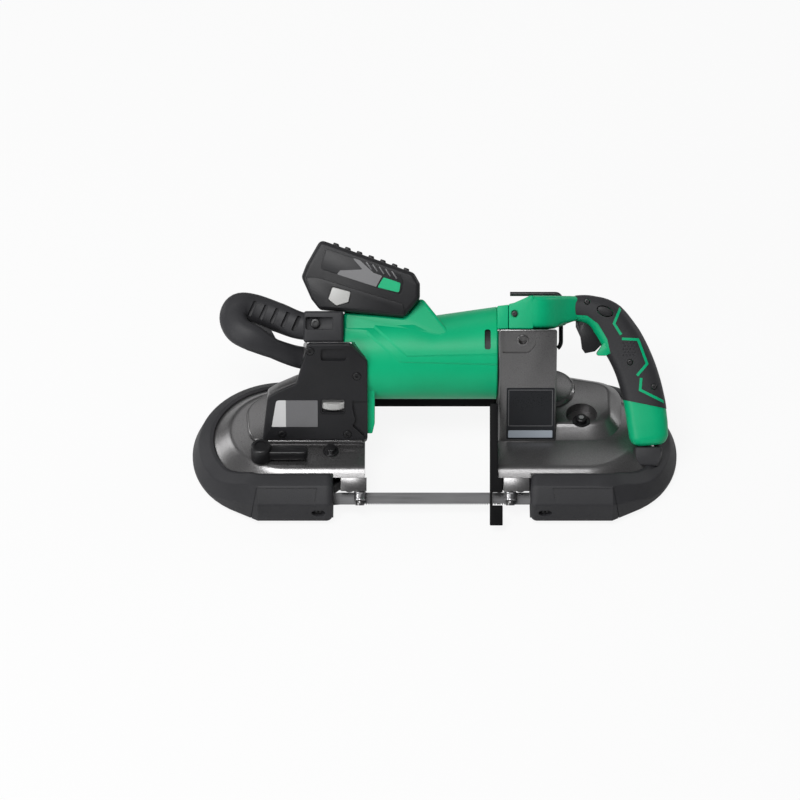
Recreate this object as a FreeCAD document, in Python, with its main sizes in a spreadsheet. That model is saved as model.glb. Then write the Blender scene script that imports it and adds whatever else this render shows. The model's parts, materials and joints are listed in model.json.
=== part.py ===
import FreeCAD, Part
import math
import os
import re

V = FreeCAD.Vector

doc = FreeCAD.newDocument("portable_band_saw")
dims = doc.addObject("Spreadsheet::Sheet", "dims")

# Driving sizes in millimetres and degrees, one sheet row each.
driving = [
    # blade loop and wheels
    ("bladeLength", 1140), ("bladeWidth", 12.7), ("bladeThick", 0.6), ("wheelRadius", 80),
    ("wheelWidth", 13), ("wheelPlane", 14), ("cutRise", 8), ("bladeTwist", 45), ("axisLineY", -21.34),
    ("tyreThick", 2.5), ("tyreGap", 0.35), ("webThick", 5), ("rimThick", 6), ("hubRadius", 17),
    ("axleRadius", 6), ("shaftFit", 0.03), ("spokeHoleRadius", 11), ("spokeCircle", 44),
    ("bearingRadius", 13), ("bearingWidth", 6), ("seatFit", 0.03),
    # wheel housings, covers and rubber bumpers
    ("wallThick", 3.5), ("skirtRoom", 6.5), ("coverThick", 3), ("shoulderLow", 21), ("shoulderMid", 30),
    ("roofHeight", 45), ("idlerThroatX", 74), ("driveThroatX", 66), ("bumperFoot", 2),
    ("bumperBand", 8), ("bumperSlope", 25), ("bumperLip", 4), ("blockLow", 30), ("blockChamfer", 43.5),
    ("blockTop", 47.5), ("idlerBlockEnd", 107), ("driveBlockEnd", 100),
    # rear beam carrying the return run
    ("beamFront", 7), ("beamRear", 12), ("beamFloor", 5), ("beamTop", 31), ("beamSlot", 3.4),
    # towers on the housings
    ("towerLean", 19), ("towerFootY", -18), ("idlerTowerLeft", 139), ("idlerTowerRight", 71),
    ("idlerTowerTop", 160), ("gearTowerLeft", 66), ("gearTowerRight", 128), ("towerDepth", 98),
    ("towerWall", 4), ("platformReach", 38), ("platformCorner", 34), ("platformHeight", 9),
    ("platformEase", 5),
    # motor and gears
    ("gripPlane", 28), ("motorHeight", 154), ("motorRadius", 44.5), ("motorWall", 3),
    ("motorLeft", -71), ("endPlateX", -42), ("motorRight", 66), ("statorRadius", 36),
    ("statorLeft", -22), ("statorRight", 30), ("rotorRadius", 21), ("motorShaftRadius", 5),
    ("fanRadius", 34), ("fanX", 38), ("fanWidth", 9), ("motorBearingRadius", 11),
    ("motorBearingWidth", 7), ("spurModule", 2), ("pinionTeeth", 20), ("outputTeeth", 58),
    ("spurWidth", 7), ("spurFloor", 25), ("bevelModule", 2), ("bevelPinionTeeth", 11),
    ("bevelGearTeeth", 22), ("bevelFace", 7), ("jackShaftRadius", 6), ("outputShaftRadius", 8),
    # blade guides
    ("guideX", 79), ("guideRoom", 21), ("rollerRadius", 6.5), ("rollerWidth", 9), ("rollerGap", 0.15),
    ("backRollerRadius", 7), ("backRollerWidth", 5), ("guidePinRadius", 2.5),
    # tension lever and slide
    ("leverX", 183), ("leverY", -44), ("leverHubRadius", 10.8), ("leverHubHeight", 20),
    ("leverFloor", 49), ("leverReach", 49), ("leverThick", 11), ("leverWidth", 12), ("camRadius", 8.5),
    ("camThrow", 1), ("camGap", 1.5), ("slideFloor", 30), ("slideThick", 7), ("slideHalf", 17),
    ("springRadius", 5), ("springWire", 1.4), ("springTurns", 11),
    # bearings of the gear train
    ("outBearingRadius", 16), ("jackBearingRadius", 14), ("gearBearingWidth", 7), ("lowPlate", 37.4),
    ("highPlate", 84),
    # handle, switch and trigger
    ("handleHalf", 17), ("gripSkin", 3.5), ("shellWall", 2.5), ("triggerHalf", 8), ("triggerX", 150),
    ("triggerZ", 188), ("lockX", 179), ("lockZ", 198), ("lockRadius", 6.5), ("capTop", 213.5),
    ("hookGap", 0.4), ("hookThick", 4.6), ("hookEnd", 134), ("hookBend", 6),
    # battery
    ("packX", -78), ("packLean", 19.5), ("packLength", 112), ("packHalf", 37), ("packHeight", 58),
    ("packPlane", 22), ("cellRadius", 10.4), ("cellLength", 60),
    # front handle
    ("frontGripRadius", 12),
    # control cover and speed dial
    ("coverPlate", 6), ("dialRadius", 15), ("dialThick", 7), ("dialX", 107), ("dialRise", 43),
]
for row, (alias, value) in enumerate(driving, 1):
    dims.set("A%d" % row, alias)
    dims.set("B%d" % row, str(value))
    dims.setAlias("B%d" % row, alias)
doc.recompute()

# Sizes that follow from the driving ones.
derived = {
    "skirtRadius": "wheelRadius + skirtRoom",
    "bumperRadius": "skirtRadius + 11.5",
    "bumperSlopeRadius": "skirtRadius + 4.5",
    "shoulderMidRadius": "skirtRadius - 11.5",
    "roofRadius": "skirtRadius - 29.5",
    "blockChamferRadius": "skirtRadius - 3.5",
    "blockTopRadius": "skirtRadius - 17.5",
    "blockBackRadius": "skirtRadius - 24.5",
    "packZ": "motorHeight + 77",
    "gearTowerTop": "motorHeight + 24",
    "idlerTowerCap": "motorHeight + 16",
    "axisX": "(bladeLength - 2 * 3.14159265 * wheelRadius) / 4",
    "cutHeight": "wheelPlane + cutRise",
    "tyreRadius": "wheelRadius - bladeThick / 2 - tyreGap",
    "rimRadius": "tyreRadius - tyreThick",
    "wheelFloor": "wheelPlane - wheelWidth / 2",
    "wheelRoof": "wheelPlane + wheelWidth / 2",
    "twistCos": "cos(bladeTwist * 1deg)",
    "twistSin": "sin(bladeTwist * 1deg)",
    "motorY": "-wheelRadius + gripPlane * twistCos + motorHeight * twistSin",
    "motorZ": "cutHeight + motorHeight * twistCos - gripPlane * twistSin",
    "spurCentres": "spurModule * (pinionTeeth + outputTeeth) / 2",
    "jackX": "axisX - sqrt(spurCentres * spurCentres - motorY * motorY)",
    "bevelPinionRadius": "bevelModule * bevelPinionTeeth / 2",
    "bevelGearRadius": "bevelModule * bevelGearTeeth / 2",
}
aliases = [alias for alias, value in driving]


def spell(text):
    """Write an expression in sheet cells."""
    def word(match):
        token = match.group(0)
        if token in derived:
            return "(" + spell(derived[token]) + ")"
        return "dims." + token if token in aliases else token
    return re.sub(r"\b[a-z][A-Za-z]*\b", word, str(text))


def size(text):
    """Value of an expression."""
    return float(dims.evalExpression(spell(text)))


def bind(thing, **sizes):
    """Tie properties of an object to the sheet."""
    for name, text in sizes.items():
        thing.setExpression(name, spell(text))
    return thing


def shift(thing, at):
    """Tie the position of an object to the sheet."""
    for axis, text in zip("xyz", at):
        thing.setExpression("Placement.Base." + axis, spell(text))
    return thing


turns = {
    "z": FreeCAD.Rotation(),
    "x": FreeCAD.Rotation(V(0, 1, 0), 90),
    "y": FreeCAD.Rotation(V(1, 0, 0), -90),
}


def rod(name, radius, height, at, along="z"):
    """Cylinder starting at a point and running along one axis."""
    thing = doc.addObject("Part::Cylinder", name)
    thing.Placement = FreeCAD.Placement(V(), turns[along])
    return shift(bind(thing, Radius=radius, Height=height), at)


def block(name, x, y, z):
    """Box between two limits on each axis."""
    thing = doc.addObject("Part::Box", name)
    bind(thing, Length="(%s) - (%s)" % (x[1], x[0]), Width="(%s) - (%s)" % (y[1], y[0]),
         Height="(%s) - (%s)" % (z[1], z[0]))
    return shift(thing, (x[0], y[0], z[0]))


def join(name, *parts):
    """One piece from several that touch."""
    thing = doc.addObject("Part::MultiFuse", name)
    thing.Shapes = list(parts)
    thing.Refine = True
    return thing


def group(name, *parts):
    """Several separate solids under one name."""
    thing = doc.addObject("Part::Compound", name)
    thing.Links = list(parts)
    return thing


def trim(name, base, *tools):
    """A piece with tools taken away."""
    thing = doc.addObject("Part::Cut", name)
    thing.Base = base
    thing.Tool = tools[0] if len(tools) == 1 else group(name + "_tools", *tools)
    thing.Refine = True
    return thing


def shaped(name, shape):
    """A free form, drawn from sheet values."""
    thing = doc.addObject("Part::Feature", name)
    thing.Shape = Part.makeCompound([shape])
    return thing


subparts = []


def finish(thing, label):
    """Name a finished sub-part."""
    thing.Label = label
    subparts.append(thing)
    return thing


def seat_flat(thing, label):
    """Sub-part drawn in the frame of the wheels, lying flat."""
    shift(thing, ("0", "axisLineY", "0"))
    return finish(thing, label)


def seat_cut(thing, label):
    """Sub-part drawn in the frame of the cutting run, blade upright."""
    thing.Placement = FreeCAD.Placement(V(), FreeCAD.Rotation(V(1, 0, 0), -size("bladeTwist")))
    thing.setExpression("Placement.Rotation.Angle", spell("-bladeTwist"))
    thing.setExpression("Placement.Rotation.Axis.x", "1")
    thing.setExpression("Placement.Rotation.Axis.z", "0")
    shift(thing, ("0", "axisLineY - wheelRadius", "cutHeight"))
    return finish(thing, label)


def tilt_cut(thing):
    """Tool drawn in the cutting frame, turned into the wheel frame."""
    holder = group(thing.Name + "_turned", thing)
    holder.Placement = FreeCAD.Placement(V(), FreeCAD.Rotation(V(1, 0, 0), -size("bladeTwist")))
    return shift(holder, ("0", "-wheelRadius", "cutHeight"))


def line(start, end):
    return Part.LineSegment(V(*start), V(*end)).toShape()


def outline(points):
    """Closed wire through points."""
    points = [V(*point) for point in points]
    return Part.makePolygon(points + points[:1])


def prism(x0, x1, points):
    """Solid between two stations on x over a section drawn in y and z."""
    face = Part.Face(outline([(x0, y, z) for y, z in points]))
    return face.extrude(V(x1 - x0, 0, 0))


def slab(y0, y1, points):
    """Solid between two stations on y over an outline drawn in x and z."""
    face = Part.Face(outline([(x, y0, z) for x, z in points]))
    return face.extrude(V(0, y1 - y0, 0))


def dee(side, radius, z, throat):
    """Housing outline: half round outside, square towards the throat."""
    centre = side * size("axisX")
    end = side * throat
    arc = Part.Arc(V(centre, -radius, z), V(centre + side * radius, 0, z), V(centre, radius, z)).toShape()
    return Part.Wire([arc, line((centre, radius, z), (end, radius, z)), line((end, radius, z), (end,
        -radius, z)),
                      line((end, -radius, z), (centre, -radius, z))])


def dome(side, throat, inset):
    """Housing body: skirt, shoulder and roof; inset gives the hollow inside."""
    levels = [
        (size("skirtRadius") - inset, size("coverThick") - inset * 0.2),
        (size("skirtRadius") - inset, size("shoulderLow") - inset * 0.3),
        (size("shoulderMidRadius") - inset * 0.8, size("shoulderMid") - inset * 0.8),
        (size("roofRadius") - inset, size("roofHeight") - inset),
    ]
    wires = [dee(side, radius, z, throat + inset) for radius, z in levels]
    return Part.makeLoft(wires, True, True)


# Wheels with webs, spoke holes and rubber tyres.
for side, word in ((-1, "idler"), (1, "drive")):
    at = "%d * axisX" % side
    rim = trim(word + "_rim", rod(word + "_rim_out", "rimRadius", "wheelWidth", (at, "0", "wheelFloor")),
               rod(word + "_rim_in", "rimRadius - rimThick", "wheelWidth", (at, "0", "wheelFloor")))
    web = rod(word + "_web", "rimRadius - rimThick / 2", "webThick", (at, "0", "wheelPlane - webThick / 2"))
    hub = rod(word + "_hub", "hubRadius", "wheelWidth", (at, "0", "wheelFloor"))
    bore = "bearingRadius + seatFit" if side < 0 else "outputShaftRadius"
    holes = [rod(word + "_bore", bore, "2 * wheelWidth", (at, "0", "wheelPlane - wheelWidth"))]
    for turn in range(6):
        angle = 60 * turn
        holes.append(rod("%s_spoke_%d" % (word, turn), "spokeHoleRadius", "wheelWidth",
                         ("%s + spokeCircle * cos(%d * 1deg)" % (at, angle),
                          "spokeCircle * sin(%d * 1deg)" % angle, "wheelFloor")))
    seat_flat(trim(word + "_disc", join(word + "_blank", rim, web, hub), *holes), word + "_wheel")
    tyre = trim(word + "_ring", rod(word + "_ring_out", "tyreRadius", "wheelWidth", (at, "0", "wheelFloor")),
                rod(word + "_ring_in", "rimRadius", "wheelWidth", (at, "0", "wheelFloor")))
    seat_flat(tyre, word + "_tyre")


def blade_shape():
    """Endless band: two half turns, a straight return run and a cutting run turned by the guides."""
    half = size("bladeThick / 2")
    radius = size("wheelRadius")
    reach = size("axisX")
    low = size("wheelPlane - bladeWidth / 2")
    high = size("wheelPlane + bladeWidth / 2")
    pieces = []
    for side in (-1, 1):
        ring = Part.makeCylinder(radius + half, high - low, V(side * reach, 0, low)).cut(
            Part.makeCylinder(radius - half, high - low, V(side * reach, 0, low)))
        keep = Part.makeBox(2 * radius, 4 * radius, high - low,
                            V(side * reach - (radius * 2 if side < 0 else 0),
                                                                 -2 * radius, low))
        pieces.append(ring.common(keep))
    pieces.append(Part.makeBox(2 * reach, 2 * half, high - low, V(-reach, radius - half, low)))
    guide = size("guideX + guideRoom")
    stations = []
    steps = 6
    for side in (-1, 1):
        for step in range(steps + 1):
            part = step / steps if side < 0 else 1 - step / steps
            turn = -size("bladeTwist") * part
            x = side * (reach + (guide - reach) * part)
            rise = size("cutRise") * part
            stations.append((x, turn, rise))
    wires = []
    for x, turn, rise in stations:
        wide = size("bladeWidth / 2")
        wire = outline([(x, -half, -wide), (x, half, -wide), (x, half, wide), (x, -half, wide)])
        wire.rotate(V(x, 0, 0), V(1, 0, 0), turn)
        wire.translate(V(0, -radius, size("wheelPlane") + rise))
        wires.append(wire)
    pieces.append(Part.makeLoft(wires, True, True))
    return pieces[0].multiFuse(pieces[1:]).removeSplitter()


blade = seat_flat(shaped("blade_band", blade_shape()), "saw_blade")


def tower(x0, x1, foot, top, back, inset):
    """Block on a housing roof with a leaning front face."""
    lean = math.tan(math.radians(size("towerLean")))
    front = size("towerFootY") + inset / math.cos(math.radians(size("towerLean")))
    base = size("roofHeight")
    points = [(front + (foot - base) * lean, foot), (back - inset, foot), (back - inset, top - inset),
              (front + (top - inset - base) * lean, top - inset)]
    return prism(x0 + inset, x1 - inset, points)


def blade_gates(side, throat):
    """Openings through the throat wall for both runs, and the cutaway around a guide."""
    radius = size("wheelRadius")
    start = side * throat - 8
    front = Part.makeBox(16, 17, 34, V(start, -radius - 7, 0))
    rear = Part.makeBox(16, 9, 26, V(start, radius - 4.5, 0))
    end = size("idlerBlockEnd") if side < 0 else size("driveBlockEnd")
    low = min(side * end, side * (throat - 20))
    cutaway = Part.makeBox(end - throat + 20, 92, 95, V(low, -77, -73))
    cutaway.rotate(V(), V(1, 0, 0), -size("bladeTwist"))
    cutaway.translate(V(0, -radius, size("cutHeight")))
    run = size("axisX") - 6 - end
    channel = Part.makeBox(run, 20, 25, V(end if side > 0 else -end - run, -size("skirtRadius") - 1, 4))
    return [front, rear, cutaway, channel]


def guard(side):
    """Raised shoulder over the blade where it turns from wheel to guide."""
    end = side * (size("idlerBlockEnd") if side < 0 else size("driveBlockEnd"))
    centre = side * size("axisX")
    skirt = size("skirtRadius")
    section = [(-skirt, size("shoulderLow")), (-skirt, 31), (-76, 39.5), (-60, 43.5), (-50,
        size("roofHeight") - 1), (-50, 40),
               (-66, 32), (-68, size("shoulderLow"))]
    return prism(min(end, centre), max(end, centre), section)


# Castings: each wheel housing carries a tower and is open underneath.
idlerBase = shaped("idler_dome", dome(-1, size("idlerThroatX"), 0))
idlerHollow = shaped("idler_hollow", dome(-1, size("idlerThroatX"), size("wallThick")))
reach = size("towerDepth") - 10


def lean_front(shape):
    """Set a piece drawn upright at y = 0 on the leaning front of a tower."""
    shape.rotate(V(), V(1, 0, 0), -size("towerLean"))
    shape.translate(V(0, size("towerFootY"), size("roofHeight")))
    return shape


def turn_to_wheels(shape):
    """Carry a shape from the cutting frame into the wheel frame."""
    shape.rotate(V(), V(1, 0, 0), -size("bladeTwist"))
    shape.translate(V(0, -size("wheelRadius"), size("cutHeight")))
    return shape


def sky(height):
    """Everything above a height in the cutting frame."""
    return turn_to_wheels(Part.makeBox(500, 500, 200, V(-250, -250, height)))


def idler_tower_solid():
    return tower(-size("idlerTowerLeft"), -size("idlerTowerRight"), size("roofHeight") - 2,
                 size("idlerTowerTop"), reach,
                 0).cut(sky(size("idlerTowerCap")))


idlerTowers = [
    shaped("idler_tower", idler_tower_solid()),
    shaped("idler_wing", lean_front(slab(0, 17, [(-182, -6), (-176, 54), (-165, 61), (-146, 70), (-132, 74),
                                                 (-132, -6)]))),
]
idlerRooms = [
    shaped("idler_room", tower(-size("idlerTowerLeft"), -size("idlerTowerRight"), size("roofHeight") + 4,
                               size("idlerTowerTop"), reach, size("towerWall")).fuse(
        prism(-size("idlerTowerLeft") + 10, -size("idlerTowerRight") - 10,
              [(-60, size("roofHeight") + 14), (40, size("roofHeight") + 14), (40, 138), (-60, 138)])).cut(
        sky(size("idlerTowerCap - towerWall")))),
    shaped("idler_wing_room", lean_front(slab(-1, 13, [(-176, 8), (-171, 50), (-163, 56), (-146, 64), (-146,
        8)]))),
]
idlerGates = [shaped("idler_gate_%d" % index, gate)
              for index, gate in enumerate(blade_gates(-1, size("idlerThroatX")))]
leverHole = rod("lever_hole", "axleRadius + shaftFit", "20", ("-leverX", "leverY", "roofHeight - 10"))
idlerGuard = shaped("idler_guard", guard(-1))
idlerCast = trim("idler_cast", join("idler_solid", idlerBase, idlerGuard, *idlerTowers), idlerHollow,
                 leverHole,
                 *(idlerRooms + idlerGates))
seat_flat(idlerCast, "idler_housing")

driveBase = shaped("drive_dome", dome(1, size("driveThroatX"), 0))
driveHollow = shaped("drive_hollow", dome(1, size("driveThroatX"), size("wallThick")))

gearTower = shaped("gear_tower", tower(size("gearTowerLeft"), size("gearTowerRight"), size("roofHeight") - 2,
                                       200, size("towerDepth"), 0).cut(sky(size("gearTowerTop"))))
gearRoom = shaped("gear_room", tower(size("gearTowerLeft"), size("gearTowerRight"), size("roofHeight") - 8,
                                     210, size("towerDepth"), size("towerWall")))


def platform_shape():
    """Raised platform around the gear tower with a rounded end and an eased rim."""
    left = size("gearTowerLeft")
    front = size("towerFootY")
    right = size("axisX + platformReach")
    back = size("wheelRadius + 6")
    low = size("roofHeight - 9")
    corner = size("platformCorner")
    arcFront = Part.Arc(V(right - corner, front, low), V(right - corner * 0.2929, front + corner * 0.2929,
                                                         low),
                        V(right, front + corner, low))
    arcBack = Part.Arc(V(right, 30, low), V(right - corner * 0.35, 55, low), V(right - corner - 10, 68, low))
    edges = [Part.LineSegment(V(left, front, low), V(right - corner, front, low)), arcFront,
             Part.LineSegment(V(right, front + corner, low), V(right, 30, low)), arcBack,
             Part.LineSegment(V(right - corner - 10, 68, low), V(left, back, low)),
             Part.LineSegment(V(left, back, low), V(left, front, low))]
    solid = Part.Face(Part.Wire([edge.toShape() for edge in edges])).extrude(V(0, 0,
        size("platformHeight + 9")))
    rims = [edge for edge in solid.Edges if edge.BoundBox.ZMin > size("roofHeight + platformHeight") - 0.01
            and edge.BoundBox.XMax > left + 1]
    return solid.makeFillet(size("platformEase"), rims)


def boss_shape():
    """Round gear boss beside the tower, eased at its top."""
    solid = Part.makeCylinder(28, 34, V(size("jackX") + 23, size("motorY") - 1, size("roofHeight") - 17))
    rims = [edge for edge in solid.Edges if edge.BoundBox.ZMin > size("roofHeight") + 16.9]
    return solid.makeFillet(5, rims)


shoulderCut = shaped("gear_platform", platform_shape())
boss = shaped("gear_boss", boss_shape())
bossRoom = rod("gear_boss_room", "24", "30", ("jackX + 23", "motorY - 1", "roofHeight - 17"))
gearPit = rod("gear_pit", "spurModule * (outputTeeth / 2 + 1.5) + 1", "spurWidth + 6", ("axisX", "0",
    "spurFloor - 2"))
pinionPit = rod("pinion_pit", "spurModule * (pinionTeeth / 2 + 1.5) + 1", "24", ("jackX", "motorY",
    "spurFloor - 2"))
motorMouth = tilt_cut(rod("motor_mouth", "motorBearingRadius + 9", "20", ("gearTowerLeft - 8", "gripPlane",
    "motorHeight"),
                          "x"))
footPad = turn_to_wheels(Part.makeBox(32, 30, 36.5, V(209, size("gripPlane") - 15, 18)))
footPad = shaped("foot_pad", footPad.common(Part.makeCylinder(size("skirtRadius") - 1, 60, V(size("axisX"),
    0, 15))))
boltPocket = rod("bolt_pocket", "17", "16", ("axisX - 4", "10", "roofHeight + 1"))
driveGates = [shaped("drive_gate_%d" % index, gate)
              for index, gate in enumerate(blade_gates(1, size("driveThroatX")))]
driveCast = trim("drive_cast", join("drive_solid", driveBase, shaped("drive_guard", guard(1)), gearTower,
                                    shoulderCut,
                                     boss, footPad), driveHollow,
                 gearRoom, gearPit, pinionPit, motorMouth, bossRoom, boltPocket, *driveGates)
seat_flat(driveCast, "drive_housing")

beam = trim("beam_channel", block("beam_bar", ("-idlerThroatX", "driveThroatX"),
                                  ("wheelRadius - beamFront", "wheelRadius + beamRear"), ("beamFloor",
                                      "beamTop")),
            block("beam_slot", ("-idlerThroatX", "driveThroatX"), ("wheelRadius - beamSlot",
                "wheelRadius + beamSlot"),
                  ("beamFloor", "wheelPlane + bladeWidth / 2 + beamSlot")))
seat_flat(beam, "rear_beam")

# Flat covers under the wheels, cut free of the blade at the throat.
for side, word, throat in ((-1, "idler", "idlerThroatX"), (1, "drive", "driveThroatX")):
    wires = [dee(side, size("skirtRadius"), z, size(throat)) for z in (0, size("coverThick"))]
    plate = shaped(word + "_plate", Part.makeLoft(wires, True, True))
    end = size("idlerBlockEnd") if side < 0 else size("driveBlockEnd")
    corner = shaped(word + "_corner", Part.makeBox(end - size(throat), 40, 10, V(min(side * end,
        side * size(throat)),
                                                                             -size("skirtRadius"), -2)))
    seat_flat(trim(word + "_cover_plate", plate, corner), word + "_wheel_cover")


def bumper_section(blend, across, along):
    """Bumper section set by a point, blended from front block (0) to rim (1)."""
    front = [("wheelRadius - 8", "bumperFoot"), ("bumperRadius - 5", "bumperFoot"), ("bumperRadius",
        "bumperFoot + 5"),
             ("bumperRadius", "blockLow"), ("blockChamferRadius", "blockChamfer"), ("blockTopRadius",
                 "blockTop"),
             ("blockBackRadius", "blockTop - 6"), ("blockBackRadius", "shoulderMid - 6")]
    rim = [("skirtRadius - 3", "bumperFoot"), ("bumperRadius - 1.5", "bumperFoot"), ("bumperRadius",
        "bumperFoot + 2"),
           ("bumperRadius", "bumperBand"), ("bumperSlopeRadius", "bumperSlope"),
           ("shoulderMidRadius + bumperLip", "shoulderMid + bumperLip / 2"),
           ("shoulderMidRadius", "shoulderMid + bumperLip / 2"), ("shoulderMidRadius", "shoulderMid - 6")]
    points = []
    for (frontRadius, frontZ), (rimRadius, rimZ) in zip(front, rim):
        radius = size(frontRadius) * (1 - blend) + size(rimRadius) * blend
        rise = size(frontZ) * (1 - blend) + size(rimZ) * blend
        points.append(along + across * radius + V(0, 0, rise))
    return outline(points)


def bumper_shape(side):
    """Rubber bumper: faceted front block running into a rim around the wheel."""
    centre = side * size("axisX")
    end = side * (size("idlerBlockEnd") if side < 0 else size("driveBlockEnd"))
    sections = [bumper_section(0, V(0, -1, 0), V(end, 0, 0)), bumper_section(0, V(0, -1, 0),
        V(centre + side * 27, 0, 0))]
    for angle, blend in ((30, 0.3), (42, 0.7), (54, 1)):
        turn = math.radians(angle)
        sections.append(bumper_section(blend, V(side * math.sin(turn), -math.cos(turn), 0), V(centre, 0, 0)))
    solid = Part.makeLoft(sections, True, True)
    wire = bumper_section(1, V(side * math.sin(math.radians(54)), -math.cos(math.radians(54)), 0), V(centre,
        0, 0))
    rim = Part.Face(wire).revolve(V(centre, 0, 0), V(0, 0, 1), 126 if side > 0 else -126)
    filled = dome(side, size("idlerThroatX") if side < 0 else size("driveThroatX"), 0)
    under = Part.makeLoft([dee(side, size("skirtRadius"), z, size("idlerThroatX")) for z in (-1, 22)], True,
                          True)
    rubber = solid.fuse(rim).cut(filled.fuse(under)).cut(guard(side))
    return (rubber.cut(footPad.Shape) if side > 0 else rubber).removeSplitter()


idlerBumper = seat_flat(shaped("idler_rubber", bumper_shape(-1)), "idler_bumper")
driveBumper = seat_flat(shaped("drive_rubber", bumper_shape(1)), "drive_bumper")

# Blade guides: a bracket, two side rollers and a back-up roller at each end of the cutting run.
for side, word in ((-1, "idler"), (1, "drive")):
    at = "%d * guideX" % side
    behind = "%d * (guideX + 11)" % side
    offset = "bladeThick / 2 + rollerGap + rollerRadius"
    bar = block(word + "_guide_bar", ("%s - %s" % (at, "7" if side > 0 else "20"), "%s + %s" % (at,
        "20" if side > 0 else "7")),
                ("-14", "13"), ("8", "22"))
    gap = block(word + "_guide_gap", ("%s - backRollerRadius - 1" % behind,
                                      "%s + backRollerRadius + 1" % behind),
                ("-backRollerWidth / 2 - 0.5", "backRollerWidth / 2 + 0.5"), ("5", "21.5"))
    pin = rod(word + "_back_pin", "guidePinRadius", "20", (behind, "-10",
                                                           "bladeWidth / 2 + rollerGap + backRollerRadius"),
              "y")
    posts = []
    for sign, post in ((-1, "front"), (1, "rear")):
        where = "%d * (%s)" % (sign, offset)
        posts.append(rod("%s_%s_post" % (word, post), "guidePinRadius", "16", (at, where, "-4")))
        posts.append(rod("%s_%s_head" % (word, post), "guidePinRadius + 2", "4.5", (at, where, "-7")))
        roller = trim("%s_%s_roller" % (word, post), rod("%s_%s_roller_out" % (word, post), "rollerRadius",
                                                         "rollerWidth",
                                                        (at, where, "-1.5")),
                      rod("%s_%s_roller_in" % (word, post), "guidePinRadius + shaftFit", "rollerWidth", (at,
                          where, "-1.5")))
        seat_cut(roller, "%s_%s_roller" % (word, post))
    backHeight = "bladeWidth / 2 + rollerGap + backRollerRadius"
    seat_cut(trim(word + "_back_ring", rod(word + "_back_out", "backRollerRadius", "backRollerWidth",
                                           (behind, "-backRollerWidth / 2", backHeight), "y"),
                  rod(word + "_back_in", "guidePinRadius + shaftFit", "backRollerWidth",
                      (behind, "-backRollerWidth / 2", backHeight), "y")), word + "_back_roller")
    seat_cut(join(word + "_guide", trim(word + "_guide_block", bar, gap), pin, *posts),
             word + "_guide_bracket")

# Work stop on the throat face of the drive housing, passing in front of the blade.
stop = join("stop_plate", block("stop_web", ("driveThroatX - 4", "driveThroatX"), ("-15", "8"), ("20",
    "100")),
            block("stop_foot", ("driveThroatX - 4", "driveThroatX + 5"), ("-15", "-12"), ("-28", "22")),
            block("stop_flange", ("driveThroatX - 8.6", "driveThroatX - 3"), ("-15", "-12"), ("-28", "100")))
seat_cut(stop, "work_stop")

# Idler carriage, axle, bearings and the cam lever that draws the carriage back.
carriage = join("carriage", block("carriage_block", ("-axisX - slideHalf", "-axisX + slideHalf"),
                                  ("-slideHalf", "slideHalf"),
                                  ("slideFloor", "slideFloor + slideThick")),
                block("carriage_arm", ("-leverX + camRadius - camThrow + camGap", "-axisX"), ("leverY - 6",
                    "0"),
                      ("slideFloor + 1", "slideFloor + slideThick - 1")))
axle = join("axle", rod("axle_pin", "axleRadius", "slideFloor - wheelFloor + 4", ("-axisX", "0",
    "wheelFloor - 1")),
            rod("axle_flange", "axleRadius + 3", "1.8", ("-axisX", "0", "wheelFloor - 2.5")))
axleSeat = rod("axle_seat", "axleRadius", "10", ("-axisX", "0", "slideFloor - 2"))
seat_flat(trim("carriage_bored", carriage, axleSeat), "idler_carriage")
seat_flat(axle, "idler_axle")
rings = []
for index, floor in enumerate(("wheelFloor", "wheelRoof - bearingWidth")):
    rings.append(trim("idler_ring_%d" % index, rod("idler_race_%d" % index, "bearingRadius", "bearingWidth",
                                                   ("-axisX", "0", floor)),
                      rod("idler_race_bore_%d" % index, "axleRadius + shaftFit", "bearingWidth", ("-axisX",
                          "0", floor))))
seat_flat(group("idler_rings", *rings), "idler_bearings")
hubCap = rod("lever_hub", "leverHubRadius", "leverHubHeight", ("-leverX", "leverY", "roofHeight + 0.4"))
arm = block("lever_arm", ("-leverX", "-leverX + leverReach - leverWidth / 2"), ("leverY - leverWidth / 2",
    "leverY + leverWidth / 2"),
            ("leverFloor", "leverFloor + leverThick"))
armEnd = rod("lever_end", "leverWidth / 2", "leverThick", ("-leverX + leverReach - leverWidth / 2",
                                                           "leverY", "leverFloor"))
stem = rod("lever_stem", "axleRadius", "roofHeight - slideFloor + 1", ("-leverX", "leverY", "slideFloor"))
cam = rod("lever_cam", "camRadius", "slideThick - 3", ("-leverX - camThrow", "leverY", "slideFloor + 1"))
seat_flat(join("lever", hubCap, arm, armEnd, stem, cam), "tension_lever")


def coil(start, end, radius, wire, turns):
    """Compression spring along x as one unbroken tube."""
    length = end - start
    spine = Part.makeHelix(length / turns, length, radius)
    section = Part.Wire(Part.makeCircle(wire / 2, V(radius, 0, 0), V(0, 1, 0)))
    tube = Part.Wire(spine).makePipeShell([section], True, True)
    tube.rotate(V(), V(0, 1, 0), 90)
    return tube


coilGap = size("springWire") / 2 + 0.1
coilStart = size("slideHalf - axisX") + coilGap
coilEnd = -size("idlerThroatX + wallThick") - coilGap
spring = coil(0, coilEnd - coilStart, size("springRadius"), size("springWire"), int(size("springTurns")))
spring.translate(V(coilStart, 0, size("slideFloor + slideThick / 2")))
seat_flat(shaped("tension_coil", spring), "tension_spring")


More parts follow.
